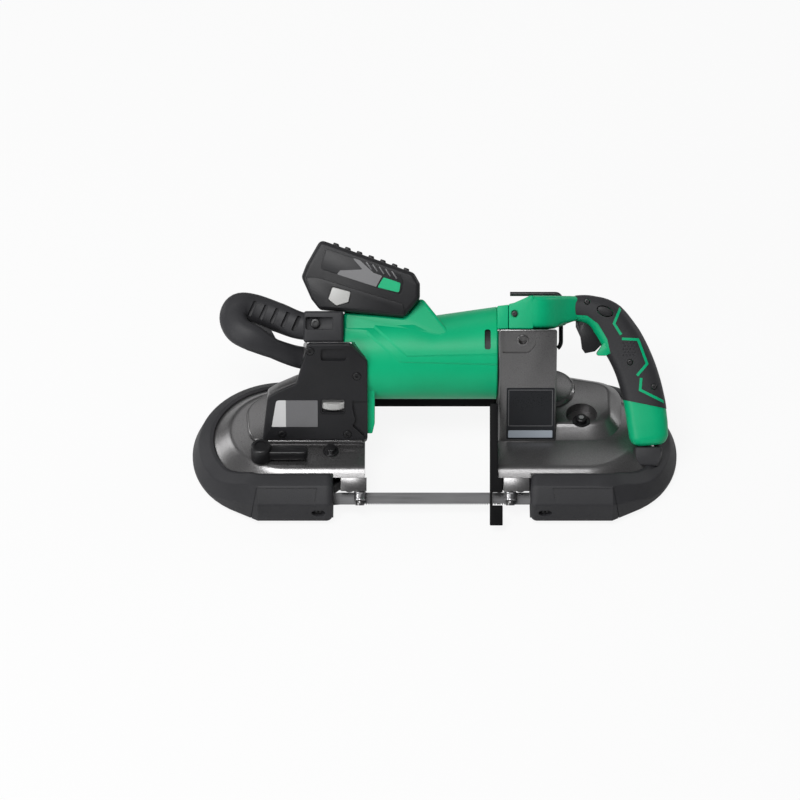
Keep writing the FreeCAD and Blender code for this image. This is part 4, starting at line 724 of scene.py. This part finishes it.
def makeHandle():
    plane, reach, deep, pitOpen = grip["plane"], grip["reach"], grip["screwDepth"], grip["pitOpen"]
    near, far = plane - max(grip["deep"]) / 2, plane + max(grip["deep"]) / 2
    path = flowing([(x, plane, z) for x, z in grip["path"]], grip["steps"])
    core = swept("handleCore", path, grip["across"], grip["deep"], (0, 1, 0), grip["sides"], grip["power"])
    zone = plate("sleeveZone", grip["sleeve"], near - reach, far + reach)
    sleeve = carve(swollen(core, grip["sleeveRise"], "gripSleeveSkin"), zone, "INTERSECT")
    depths = (near - reach, near + grip["inlayDeep"]), (far - grip["inlayDeep"], far + reach)
    bands = [plate("band", ribbon(points, grip["inlayWide"]), *depth) for points in grip["inlays"] for depth in depths]
    inlays = swollen(core, grip["sleeveRise"] + grip["inlayRise"], "gripInlays")
    carve(inlays, joined("bands", *bands), "INTERSECT")
    depths = (near - pitOpen, near + deep), (far - deep, far + pitOpen)
    pits = [cylinder("pit", grip["screwRadius"], *depth, spot, sides=28) for spot in grip["screws"] for depth in depths]
    rim = oval(grip["lockSpot"], [half + grip["lockGap"] for half in grip["lockSize"]], grip["lockTilt"])
    pits.append(plate("pit", rim, near - pitOpen, near + grip["lockRoom"]))
    pits.append(plate("pit", oblong(*grip["triggerRoom"]), plane - grip["triggerHalf"], plane + grip["triggerHalf"]))
    holes = joined("handleHoles", *pits)
    carve(core, holes, keep=True)
    carve(sleeve, holes)
    collar = pillow("capCollar", eased(cap["collar"]), cap["near"], cap["far"], cap["collarEase"])
    neck = loft("capNeck", [neckRing(*station) for station in cap["neck"]])
    shell = pillow("capShell", eased(cap["shell"]), cap["near"], cap["far"], cap["ease"])
    capFace = cap["near"] + cap["screwDepth"]
    carve(shell, cylinder("capPit", cap["screwRadius"], cap["near"] - 5, capFace, cap["screw"], sides=28))
    parts, (low, high), seam = (core, collar, shell, neck), grip["halfEnds"], grip["seam"]
    for word, depth in (("front", (low, plane - seam)), ("rear", (plane + seam, high))):
        halves = []
        for part in parts:
            room = plate("halfRoom", oblong(*grip["halfRoom"]), *depth)
            halves.append(carve(place(part.data.copy(), "handleHalf"), room, "INTERSECT"))
        show(settle(joined("handle%sSkin" % word.title(), *halves), cutFrame), "handle_%s_shell" % word)
        if word == "front":
            lip = plate("triggerLip", eased(grip["lip"]), plane - grip["lipHalf"], plane + grip["lipHalf"], 1.6, 3)
            extra(settle(lip, cutFrame), "handle_front_shell", "green_plastic")
    for part in parts:
        bpy.data.objects.remove(part)
    show(settle(sleeve, cutFrame), "grip_sleeve")
    extra(settle(inlays, cutFrame), "grip_sleeve", "green_plastic")
    spots = [(x, near + deep, z) for x, z in grip["screws"]] + [(cap["screw"][0], capFace, cap["screw"][1])]
    screws = repeated("handleScrews", screwShape(*grip["screwShape"]), spots, "dark_steel")
    spots = [(x, far - deep, z) for x, z in grip["screws"]]
    rear = repeated("handleScrewsRear", screwShape(*grip["screwShape"]), spots, "dark_steel", (0, 0, math.pi))
    extra(settle(joined("handleScrewSet", screws, rear), cutFrame), "handle_front_shell", "dark_steel")
    rim = oval(grip["lockSpot"], grip["lockSize"], grip["lockTilt"])
    button = plate("lockButtonSkin", rim, *(near + depth for depth in grip["lockFaces"]), 0.9, 3, 40)
    show(settle(button, cutFrame), "lock_button")
    (x, z), (across, up), dots = grip["dotSpot"], grip["dotStep"], []
    for rank in range(grip["dotRows"]):
        for column in range(grip["dotColumns"]):
            dots.append((x + (column - 1.5 + rank % 2 / 2) * across, near - grip["sleeveRise"], z + (rank - 2) * up))
    bump = roundBox("dotShape", (-0.9, -0.45, -0.9), (0.9, 0.6, 0.9), 0.35, 1)
    extra(settle(repeated("gripDots", bump, dots, "black_rubber"), cutFrame), "grip_sleeve", "black_rubber")


makeHandle()
dressed("trigger", edge=1.5)
print("rear handle made")


# motor housing: barrel with two character lines on its side, and the sloping battery seat
barrel = {
    "axis": (28.0, 154.0), "radius": 45.2, "left": -95.5, "right": 65.8, "step": 2.4, "stations": 84, "bottom": 104.8,
    "top": [(-97, 199.2), (-22, 199.2), (0, 193.0), (70, 203.0)], "endEase": 1.2,
    "upper": [(-97, 192), (-72, 190), (-49.5, 169.4), (-29.4, 150.3), (70, 152.9)],
    "lower": [(-97, 176), (-72, 174), (-59, 162), (-37.8, 141.9), (70, 139.0)], "counts": (26, 5, 20),
    "flange": [(-72, 98, 1), (-66.5, 98, 2), (-63.4, 84, 3), (-63.4, 20, 3), (-66, 8, 2), (-72, 8, 1)],
    "flangeFaces": (2, 30), "vent": ((52, -40, 156.7), (58.4, -6, 177.8)), "floorRadius": 42.4, "rearVents": 4,
    "rearVentStart": 30, "rearVentStep": 7, "rearVentSize": (3.5, (60, 100), (138, 172)),
    "seat": [(-96.5, 156), (-96.5, 196.4, 5), (-60, 193.2, 5), (-32.5, 190.3, 5), (-16.4, 209.8, 5), (-12, 209.4, 5),
        (2.0, 192.0, 10), (17, 173, 6), (17, 156)], "seatFaces": (-13.2, 57.0), "seatEase": 4.0,
    "seatLean": (171, 0.42)}


def heightAt(line, x):
    for (x0, z0), (x1, z1) in zip(line, line[1:]):
        if x <= x1:
            return z0 + (z1 - z0) * (x - x0) / (x1 - x0)
    return line[-1][1]


def barrelRing(x, shrink):
    # from the top down the front, then up the back; the character lines fall on fixed points
    cy, cz = barrel["axis"]
    radius = barrel["radius"] - shrink
    rise = (heightAt(barrel["top"], x) - cz) / barrel["radius"]
    sink = (cz - barrel["bottom"]) / (barrel["radius"] - barrel["step"])
    stops = [0.0]
    for line in ("upper", "lower"):
        level = heightAt(barrel[line], x) - cz
        stops.append(math.acos(max(-0.95, min(0.95, level / radius / (rise if level > 0 else sink)))))
    stops.append(math.pi)
    ring = []
    for sign in (-1, 1):
        half = []
        for part, count in enumerate(barrel["counts"]):
            for step in range(count):
                turn = stops[part] + (stops[part + 1] - stops[part]) * step / count
                drop = (0, 0.5 if step else 0, 1)[part] * barrel["step"]
                level = (radius - drop) * math.cos(turn)
                half.append((x, cy + sign * (radius - drop) * math.sin(turn),
                             cz + level * (rise if level > 0 else sink)))
        half.append((x, cy, cz - (radius - barrel["step"]) * sink))
        ring += half if sign < 0 else half[1:-1][::-1]
    return ring


def makeMotor():
    left, right, count = barrel["left"], barrel["right"], barrel["stations"]
    marks = sorted({round(left + (right - left) * step / count, 3) for step in range(count + 1)}
                   | {spot[0] for line in ("upper", "lower") for spot in barrel[line] if left < spot[0] < right})
    ease = barrel["endEase"]
    stations = [(left, ease), (left + ease, 0)] + [(x, 0) for x in marks if left + 2 < x < right - 2]
    stations += [(right - ease, 0), (right, ease)]
    body = loft("motorHousingSkin", [barrelRing(*station) for station in stations])
    low, high = barrel["vent"]
    carve(body, roundBox("vent", low, high, 2.0, 2))
    vents = []
    wide, (near, far), (foot, top) = barrel["rearVentSize"]
    for index in range(barrel["rearVents"]):
        x = barrel["rearVentStart"] + barrel["rearVentStep"] * index
        vents.append(roundBox("rearVent", (x, near, foot), (x + wide, far, top), 1.4, 2))
    carve(body, joined("rearVents", *vents))
    seat = pillow("packSeat", eased(barrel["seat"], 9), *barrel["seatFaces"], barrel["seatEase"], 6, barrel["seatLean"])
    flange = plate("coverFlange", eased(barrel["flange"]), *barrel["flangeFaces"], 1.2, 2)
    moved(flange, cutFrame.inverted() @ leanFrame)
    show(settle(joined("motorHousingSkin", body, seat, flange), cutFrame, 14), "motor_housing")
    floor = cylinder("ventFloor", barrel["floorRadius"], low[0] - 0.5, high[0] + 0.5, barrel["axis"], "X", sides=72)
    extra(settle(floor, cutFrame), "motor_housing", "black_plastic")


makeMotor()
print("motor housing made")


# castings: domed wheel housings with a tower on each, drawn in the wheel frame
dome = {
    "axis": 159.336,
    "profile": [(86.5, 3), (86.5, 18), (86.2, 20.5), (84.6, 22.8), (80.5, 26), (75, 30), (68, 35.8), (62, 40.8),
        (58.6, 43.4), (56, 44.6), (52.5, 45)], "arcSteps": 56, "wall": 3.5, "throat": {-1: 74.0, 1: 66.0},
    "blockEnd": {-1: 107.0, 1: 100.0}, "gates": [(-87, -70, 34), (75.5, 84.5, 26)], "gateHalf": 8,
    "guideRoom": ((-73, 22), (-77, 15)), "guideReach": 20, "channel": ((-88, 4), (-67.5, 29)), "channelShort": 6,
    "guard": [(-86.4, 21), (-86.4, 31), (-78, 38.5), (-66, 42), (-61, 41.5), (-61, 38), (-66, 32), (-68, 21)]}
gearSide = {
    "tower": [(-18.7, 43), (97.5, 43), (97.5, 95.9), (24.6, 168.6)], "span": (66.2, 127.8), "ease": 2.5,
    "recess": [(71.2, 103, 1), (99, 103, 8), (105.3, 112, 8), (105.3, 128.6, 2), (71.2, 128.6, 1)], "recessDeep": 1.8,
    "dimple": (91.8, 117), "dimpleRadius": 4.2, "rimRadius": 6.4, "label": (75.4, 2.6, 126.0, 62.6),
    "labelSplit": 15.0, "border": 0.6,
    "platform": [(68, -17.5), (199, -17.5, 38), (199, 66, 34), (120, 84, 22), (68, 86)],
    "platformSteps": [(40, -1.5), (44, 0), (46, 1.6), (54.6, 11.2), (56.2, 13.4), (57, 16)],
    "boss": (121.35, 47.7, 28.0, 62.0), "pocket": (155.3, 10.0, 16.5), "pocketFloor": 46.0, "bolt": (6.2, 6.0, 3.0),
    "washer": (9.5, 1.4), "pad": ((211, 19, 34), (240, 43, 54.5)), "padRadius": 85.5}
idlerSide = {
    "tower": [(-18.7, 43), (87.5, 43), (87.5, 87.4), (19.8, 155.1)], "span": (-138.8, -71.2), "ease": 3.0,
    "corners": [[(-89, 116.6), (-60, 130), (-60, 84), (-71, 96)], [(-133.4, 118), (-139.8, 92), (-155, 92),
        (-155, 118)]], "wing": [(-182, -3, 2), (-176, 54, 6), (-165, 61, 5), (-146, 70, 5), (-132, 74), (-132, -3)],
    "wingDeep": 17.0, "ledge": [(-74, -22), (-196, -22, 22), (-201, 30, 30), (-170, 60, 30), (-74, 66)],
    "ledgeTop": 49.0, "bolt": (-109.8, -33.0), "boltRadius": 6.0, "slot": ((-100, -36.5, 43), (-82.5, -30.0, 48))}


def deeRing(side, radius, z, throat):
    # half round outside, square towards the throat
    centre, end, steps = side * dome["axis"], side * throat, dome["arcSteps"]
    ring = []
    for step in range(steps + 1):
        turn = math.pi * step / steps - math.pi / 2
        ring.append((centre + side * radius * math.cos(turn), radius * math.sin(turn), z))
    run = [(centre + (end - centre) * share, radius, z) for share in (0.33, 0.66, 1)]
    wall = [(end, radius * (1 - 2 * share), z) for share in (0.25, 0.5, 0.75)]
    return ring + run + wall + [(x, -y, level) for x, y, level in run[::-1]]


def domeShell(name, side, by):
    throat = dome["throat"][side] + by
    rings = [deeRing(side, radius - by, z - (by if z > 10 else by * 0.2), throat) for radius, z in dome["profile"]]
    return loft(name, rings)


def prism(name, section, low, high, edge=0.0, segments=3):
    # section in y and z drawn along x
    piece = loft(name, [[(x, y, z) for y, z in section] for x in (low, high)])
    return eases(piece, edge, segments) if edge else piece


def slab(name, outline, low, high, edge=0.0, segments=3):
    # outline in x and y drawn upwards
    piece = loft(name, [[(x, y, z) for x, y in outline] for z in (low, high)])
    return eases(piece, edge, segments) if edge else piece


def box(name, low, high):
    return slab(name, oblong(*low[:2], *high[:2]), low[2], high[2])


cutToFlat = flatFrame.inverted() @ cutFrame
leanToFlat = flatFrame.inverted() @ leanFrame


def makeDome(side):
    # hollow dome with the gates for the blade and the room for its guide
    throat, end = dome["throat"][side], dome["blockEnd"][side]
    body = carve(domeShell("housingDome", side, 0), domeShell("housingRoom", side, dome["wall"]))
    face = side * throat
    for low, high, top in dome["gates"]:
        carve(body, box("gate", (face - dome["gateHalf"], low, -1), (face + dome["gateHalf"], high, top)))
    low, high = sorted((side * end, side * (throat - dome["guideReach"])))
    (foot, top), depth = dome["guideRoom"]
    carve(body, moved(plate("guideRoom", oblong(low, foot, high, top), *depth), cutToFlat))
    low, high = sorted((side * end, side * (dome["axis"] - dome["channelShort"])))
    near, far = dome["channel"]
    carve(body, box("channel", (low, *near), (high, *far)))
    low, high = sorted((side * end, side * dome["axis"]))
    return [body, prism("housingGuard", dome["guard"], low, high, 1.2, 2)]


def makeGearSide():
    pieces = makeDome(1)
    tower = prism("gearTower", gearSide["tower"], *gearSide["span"], gearSide["ease"], 4)
    deep = gearSide["recessDeep"]
    carve(tower, moved(plate("recess", eased(gearSide["recess"]), -3, deep), leanToFlat))
    hole = cylinder("dimple", gearSide["dimpleRadius"], -2, deep + 3, gearSide["dimple"], sides=32)
    collar = cylinder("dimpleRim", gearSide["rimRadius"], deep - 0.9, deep + 2, gearSide["dimple"], sides=32, edge=0.4)
    carve(collar, hole, keep=True)
    carve(tower, moved(hole, leanToFlat))
    rim = eased(gearSide["platform"], 12)
    platform = loft("gearPlatform", [[(x, y, z) for x, y in inset(rim, by)] for z, by in gearSide["platformSteps"]])
    x, y, radius = gearSide["pocket"]
    floor = gearSide["pocketFloor"]
    carve(platform, cylinder("boltPocket", radius, floor, 70, (x, y), "Z", sides=56))
    *spot, radius, top = gearSide["boss"]
    boss = cylinder("gearBoss", radius, 40, top, spot, "Z", 5.0, 72)
    pad = moved(roundBox("footPad", *gearSide["pad"], 2.5, 3), cutToFlat)
    carve(pad, cylinder("padRoom", gearSide["padRadius"], 15, 90, (dome["axis"], 0), "Z", sides=96), "INTERSECT")
    pieces += [tower, moved(collar, leanToFlat), platform, boss]
    show(settle(joined("driveHousingSkin", *pieces), flatFrame, 30), "drive_housing")
    extra(settle(pad, flatFrame), "drive_housing", "black_rubber")
    bolt = moved(screwShape(*gearSide["bolt"]), Matrix.Rotation(math.radians(-90), 4, "X"))
    radius, thick = gearSide["washer"]
    washer = cylinder("washer", radius, floor, floor + thick, (x, y), "Z", 0.3, 40)
    bolt = repeated("pocketBolt", bolt, [(x, y, floor + thick - 0.2)], "dark_steel")
    extra(settle(joined("pocketBoltSet", bolt, washer), flatFrame), "drive_housing", "dark_steel")
    (left, low, right, high), split = gearSide["label"], gearSide["labelSplit"]
    dark = plate("gearLabelDark", eased(oblong(left, low, right, high, 1.5)), -0.3, 0.6)
    left, low, right, high = left + 2, low + 2, right - 2, high - 2
    band = plate("gearLabelBand", eased(oblong(left, low, right, split - 2, 1)), -0.5, 0.6)
    border = plate("gearLabelBorder", eased(oblong(left, split + 3, right, high, 1)), -0.5, 0.6)
    by = gearSide["border"]
    carve(border, plate("borderRoom", oblong(left + by, split + 3 + by, right - by, high - by), -2, 2))
    extra(settle(dark, leanFrame), "drive_housing", "black_plastic", "dark_label")
    extra(settle(border, leanFrame), "drive_housing", "pale_plastic", "grey_label")
    extra(settle(band, leanFrame), "drive_housing", "pale_plastic", "band_label")


def makeIdlerSide():
    pieces = makeDome(-1)
    tower = prism("idlerTower", idlerSide["tower"], *idlerSide["span"], idlerSide["ease"], 4)
    for corner in idlerSide["corners"]:
        carve(tower, moved(plate("towerCorner", corner, -8, 70), leanToFlat))
    wing = moved(plate("idlerWing", eased(idlerSide["wing"]), 0, idlerSide["wingDeep"], 1.5, 3), leanToFlat)
    ledge = slab("idlerLedge", eased(idlerSide["ledge"], 10), 38, idlerSide["ledgeTop"], 3.0, 4)
    carve(pieces[0], box("adjustSlot", *idlerSide["slot"]))
    show(settle(joined("idlerHousingSkin", *pieces, tower, wing, ledge), flatFrame, 30), "idler_housing")
    x, y = idlerSide["bolt"]
    head = cylinder("adjustBolt", idlerSide["boltRadius"], 46.6, 51.5, (x, y), "Z", 0.5, 6)
    flange = cylinder("adjustFlange", idlerSide["boltRadius"] + 2.2, 44.9, 46.8, (x, y), "Z", 0.4, 36)
    extra(settle(joined("adjustBoltSet", head, flange), flatFrame), "idler_housing", "dark_steel")


makeGearSide()
makeIdlerSide()
print("castings made")


# rubber bumpers: faceted front block running into a rim; radius, height and corner easing of each section point
bumper = {
    "block": [(72, 2, 1), (93, 2, 4), (98, 7, 4), (98, 30, 5), (83, 43.5, 5), (69, 47.5, 3), (62, 41.5, 2),
        (62, 26, 1)],
    "rim": [(83.5, 2, 1), (96.5, 2, 1.5), (98, 4, 1.5), (98, 8, 5), (91, 25, 6), (79, 32, 2), (75, 32, 1),
        (75, 26, 1)], "middle": (80, 26), "straightFrom": 9, "turnStart": 27.0, "rimAngles": (58, 181, 4),
    "blends": [(30, 0.3), (36, 0.5), (42, 0.7), (48, 0.88), (54, 1.0)], "screw": (3.4, 1.8, 1.6),
    "endEase": [(0.0, 0.74), (0.8, 0.84), (2.2, 0.92), (4.2, 0.975), (6.5, 1.0)],
    "seam": [(-194, -23), (-187.2, 10.9), (-124, 10.9), (-126, -3)], "seamWide": 0.9, "seamDeep": 0.8,
    "wheelRoom": 84.0, "recess": {-1: -122.5, 1: 115.7}, "recessRise": 18.5, "recessSize": (7.2, 4.6), "front": -98.0,
    "recessDeep": 4.0}


def bumperRing(blend, across, along, swell=1.0):
    section = []
    for corners in zip(bumper["block"], bumper["rim"]):
        section.append([front + (rim - front) * blend for front, rim in zip(*corners)])
    middle = Vector(bumper["middle"])
    rim = [middle + (Vector(spot) - middle) * swell for spot in eased(section, 4)]
    return [(along[0] + across[0] * radius, along[1] + across[1] * radius, z) for radius, z in rim]


def makeBumper(word, side):
    centre, end = side * dome["axis"], side * dome["blockEnd"][side]
    rings = [bumperRing(0, (0, -1), (end + side * run, 0), swell) for run, swell in bumper["endEase"]]
    start, stop = end + side * bumper["straightFrom"], centre + side * bumper["turnStart"]
    rings += [bumperRing(0, (0, -1), (start + (stop - start) * share, 0)) for share in (0, 0.2, 0.4, 0.6, 0.8, 1)]
    for angle, blend in bumper["blends"] + [(angle, 1.0) for angle in range(*bumper["rimAngles"])]:
        turn = math.radians(angle)
        rings.append(bumperRing(blend, (side * math.sin(turn), -math.cos(turn)), (centre, 0)))
    body = loft(word + "BumperSkin", rings)
    low, high = sorted((end - side * 5, centre))
    carve(body, box("bladeRoom", (low, -87.5, 1), (high, -60, 31)))
    carve(body, cylinder("wheelRoom", bumper["wheelRoom"], 0, 24, (centre, 0), "Z", sides=96))
    seam = plate("seam", ribbon([(-side * x, z) for x, z in bumper["seam"]][::-side], bumper["seamWide"]), -70, 30)
    moved(seam, cutToFlat)
    carve(seam, swollen(body, -bumper["seamDeep"], "seamCore"))
    carve(body, seam)
    x, z = bumper["recess"][side], bumper["recessRise"]
    floor = bumper["front"] + bumper["recessDeep"]
    carve(body, plate("recess", oval((x, z), bumper["recessSize"], 0), bumper["front"] - 3, floor))
    show(settle(body, flatFrame, 30), word + "_bumper")
    screw = repeated("bumperScrew", screwShape(*bumper["screw"]), [(x, floor + 0.1, z)], "dark_steel")
    extra(settle(screw, flatFrame), word + "_bumper", "dark_steel")


def skinOf(node, matrix):
    # merged copy of a solid in local millimetres
    return moved(merged(node), matrix.inverted())


# tension lever: round knob on its hub and a flat bar
lever = {
    "hub": (-183.0, -44.0), "radius": 10.8, "low": 45.4, "high": 65.4, "bar": ((-183, -50, 49), (-134, -38, 60)),
    "dish": 6.5, "dishDeep": 1.2, "stem": (5.9, 30.5, 46)}


def makeLever():
    hub = cylinder("leverHub", lever["radius"], lever["low"], lever["high"], lever["hub"], "Z", 2.4, 64)
    floor = lever["high"] - lever["dishDeep"]
    carve(hub, cylinder("leverDish", lever["dish"], floor, lever["high"] + 2, lever["hub"], "Z", 0.0, 48))
    low, high = lever["bar"]
    rim = [(low[0], low[1], 2), (high[0], low[1], 5.9), (high[0], high[1], 5.9), (low[0], high[1], 2)]
    bar = slab("leverBar", eased(rim, 8), low[2], high[2], 2.0, 3)
    stem = cylinder("leverStem", *lever["stem"], lever["hub"], "Z")
    show(settle(joined("tensionLeverSkin", hub, bar, stem), flatFrame), "tension_lever")


# blade: teeth cut into the free run
teeth = {
    "from": -76.0, "to": 76.0, "pitch": 2.6, "edge": -6.35,
    "gullet": [(-1.1, -1.5), (1.2, -1.5), (1.0, 0.0), (0.1, 1.35), (-0.5, 1.1)]}


def makeBlade():
    band = skinOf("saw_blade", cutFrame)
    gullet = plate("gulletShape", teeth["gullet"], -1.2, 1.2)
    count = int((teeth["to"] - teeth["from"]) / teeth["pitch"]) + 1
    spots = row((teeth["from"], teeth["edge"]), (teeth["pitch"], 0), count, 0)
    carve(band, repeated("bladeGullets", gullet, spots, "blade_steel"))
    show(settle(band, cutFrame, 20), "saw_blade")


# work stop with the slot that the blade runs through
stop = {"slot": oblong(60, -6.8, 73, 6.8), "slotDepth": (-20, -8), "edge": 1.3}


def makeStop():
    body = skinOf("work_stop", cutFrame)
    carve(body, plate("stopSlot", stop["slot"], *stop["slotDepth"]))
    show(settle(eases(body, stop["edge"], 3, 40), cutFrame), "work_stop", "black_paint_and_shade")


# guide rollers with two turned grooves each
roller = {
    "at": {-1: -79.0, 1: 79.0}, "offset": 6.95, "radius": 6.5, "edge": 0.5, "grooves": (1.2, 4.8), "grooveHalf": 0.45,
    "grooveDeep": 0.7}


def makeRoller(word, side, post, sign):
    node = "%s_%s_roller" % (word, post)
    body = eases(skinOf(node, cutFrame), roller["edge"], 2, 40)
    spot = (roller["at"][side], sign * roller["offset"])
    for height in roller["grooves"]:
        low, high = height - roller["grooveHalf"], height + roller["grooveHalf"]
        ring = cylinder("groove", roller["radius"] + 2, low, high, spot, "Z", sides=48)
        core = roller["radius"] - roller["grooveDeep"]
        carve(body, carve(ring, cylinder("grooveCore", core, low - 1, high + 1, spot, "Z", sides=48)))
    show(settle(body, cutFrame), node)


# wheel covers under the housings: two ring grooves and sunk screws
under = {
    "rings": (60.0, 30.0), "ringWide": 2.4, "ringDeep": 0.7, "screwCircle": 80.0,
    "screwAngles": (-60, -20, 20, 60, 95), "screw": (3.4, 1.2, 1.7), "pitGap": 0.4, "pitDeep": 1.4}


def makeUnder(word, side):
    body = skinOf(word + "_wheel_cover", flatFrame)
    centre = (side * dome["axis"], 0)
    for radius in under["rings"]:
        ring = cylinder("ring", radius, -1, under["ringDeep"], centre, "Z", sides=72)
        carve(body, carve(ring, cylinder("ringCore", radius - under["ringWide"], -2, 3, centre, "Z", sides=72)))
    turns = [math.radians(angle) for angle in under["screwAngles"]]
    reach = under["screwCircle"]
    spots = [(centre[0] + side * reach * math.cos(turn), reach * math.sin(turn)) for turn in turns]
    wide, deep = under["screw"][0] + under["pitGap"], under["pitDeep"]
    carve(body, joined("pits", *(cylinder("pit", wide, -1, deep, spot, "Z", sides=28) for spot in spots)))
    show(settle(body, flatFrame), word + "_wheel_cover")
    screw = moved(screwShape(*under["screw"]), Matrix.Rotation(math.radians(90), 4, "X"))
    screws = repeated("underScrews", screw, [(*spot, deep + 0.1) for spot in spots], "dark_steel")
    extra(settle(screws, flatFrame), word + "_wheel_cover", "dark_steel")


for word, side in (("idler", -1), ("drive", 1)):
    makeBumper(word, side)
    makeUnder(word, side)
    for post, sign in (("front", -1), ("rear", 1)):
        makeRoller(word, side, post, sign)
    dressed(word + "_guide_bracket", "cast_metal", 0.8)
print("bumpers and guides made")
makeLever()
makeBlade()
makeStop()
# rear beam: black paint, made darker so it also stands in for the shade under the barrel (painted shade)
dressed("rear_beam", "black_paint_and_shade", 1.5)
print("working parts made")


# hidden solids stay as they are, and the others that are left are dressed
insideNodes = ["controller_board", "switch_module", "terminal_block", "battery_cells", "motor_stator", "motor_rotor",
               "motor_fan", "motor_bearings", "motor_end_plate", "motor_front_plate", "jack_carrier", "jack_shaft",
               "jack_pinion", "bevel_gear", "bevel_pinion", "gear_bearings", "output_gear", "output_shaft",
               "idler_axle",
               "idler_bearings", "idler_carriage", "tension_spring", "trigger_pin"]
for node, cad in nodes.items():
    cad.data.materials.clear()
    cad.data.materials.append(finishes["dark_steel" if node == "trigger_pin" else slotOf[node]])
for node in sorted(set(nodes) - set(insideNodes)):
    if not nodes[node].hide_render:
        dressed(node)
print("solids dressed")

# studio: pale floor, five soft lamps and the catalogue camera
studio = {
    "floorTones": ((0.66, 0.66, 0.66, 1), (0.70, 0.70, 0.70, 1)), "floorHalf": 6.0, "floorLevel": -0.0005,
    "glow": {"Camera": 0.9, "Glossy": 0.25, "Transmission": 0.9}, "worldTone": (0.93, 0.94, 0.95, 1),
    "worldLight": 0.12, "aim": (-0.0368, 0.0003, 0.067), "distance": 6.0, "spanAcross": 0.847, "sensor": 36.0}
# spot, aim, size and power of each lamp
lamps = {"keyLamp": ((-0.5, -0.95, 2.25), (0, 0, 0.08), (1.2, 0.8), 44),
         "lowLamp": ((-1.5, -1.4, 0.8), (-0.1, 0, 0.06), (1.0, 0.6), 16),
         "leftLamp": ((-1.9, 1.0, 0.9), (-0.05, 0, 0.08), (0.6, 1.0), 9),
         "rightLamp": ((1.9, 1.0, 0.9), (0.05, 0, 0.08), (0.6, 1.0), 9),
         "backLamp": ((-0.1, 1.35, 1.45), (0, 0, 0.06), (1.8, 0.8), 5)}


def makeFloor():
    half, level = studio["floorHalf"], studio["floorLevel"]
    mesh = bpy.data.meshes.new("studioFloor")
    mesh.from_pydata(oblong(-half, -half, half, half, level), [], [(0, 1, 2, 3)])
    floor = place(mesh, "studioFloor")
    made = Finish("studio floor", Roughness=0.9)
    made.paint(Base_Color=made.mix(made.noise(2.0), *studio["floorTones"]))
    white = made.node("ShaderNodeEmission", {}, {"Color": (1, 1, 1, 1), "Strength": 1.0})
    first, second, third = (made.node("ShaderNodeLightPath", out="Is %s Ray" % word) * share
                            for word, share in studio["glow"].items())
    coat = Value(made, made.shader.outputs[0])
    shown = made.node("ShaderNodeMixShader", {}, {0: first + second + third, 1: coat, 2: white})
    made.tree.links.new(shown.socket, made.tree.nodes["Material Output"].inputs["Surface"])
    floor.data.materials.append(made.material)


def makeLamp(name, spot, aim, size, power):
    lamp = bpy.data.lights.new(name, "AREA")
    lamp.shape = "RECTANGLE"
    lamp.size, lamp.size_y = size
    lamp.energy = power
    made = bpy.data.objects.new(name, lamp)
    made.location = spot
    made.rotation_euler = (Vector(aim) - Vector(spot)).to_track_quat("-Z", "Y").to_euler()
    bpy.context.scene.collection.objects.link(made)


def makeCamera():
    lens = bpy.data.cameras.new("catalogueCamera")
    lens.sensor_width = studio["sensor"]
    lens.lens = studio["sensor"] * studio["distance"] / studio["spanAcross"]
    made = bpy.data.objects.new("catalogueCamera", lens)
    aim = Vector(studio["aim"])
    made.location = aim + studio["distance"] * Vector((0, -math.cos(twist), math.sin(twist)))
    made.rotation_euler = (aim - made.location).to_track_quat("-Z", "Y").to_euler()
    bpy.context.scene.collection.objects.link(made)
    bpy.context.scene.camera = made


makeFloor()
for name, values in lamps.items():
    makeLamp(name, *values)
makeCamera()
world = bpy.data.worlds.new("studioWorld")
world.use_nodes = True
world.node_tree.nodes["Background"].inputs["Color"].default_value = studio["worldTone"]
world.node_tree.nodes["Background"].inputs["Strength"].default_value = studio["worldLight"]
bpy.context.scene.world = world
bpy.context.scene.view_settings.view_transform = "Standard"
print("studio set")
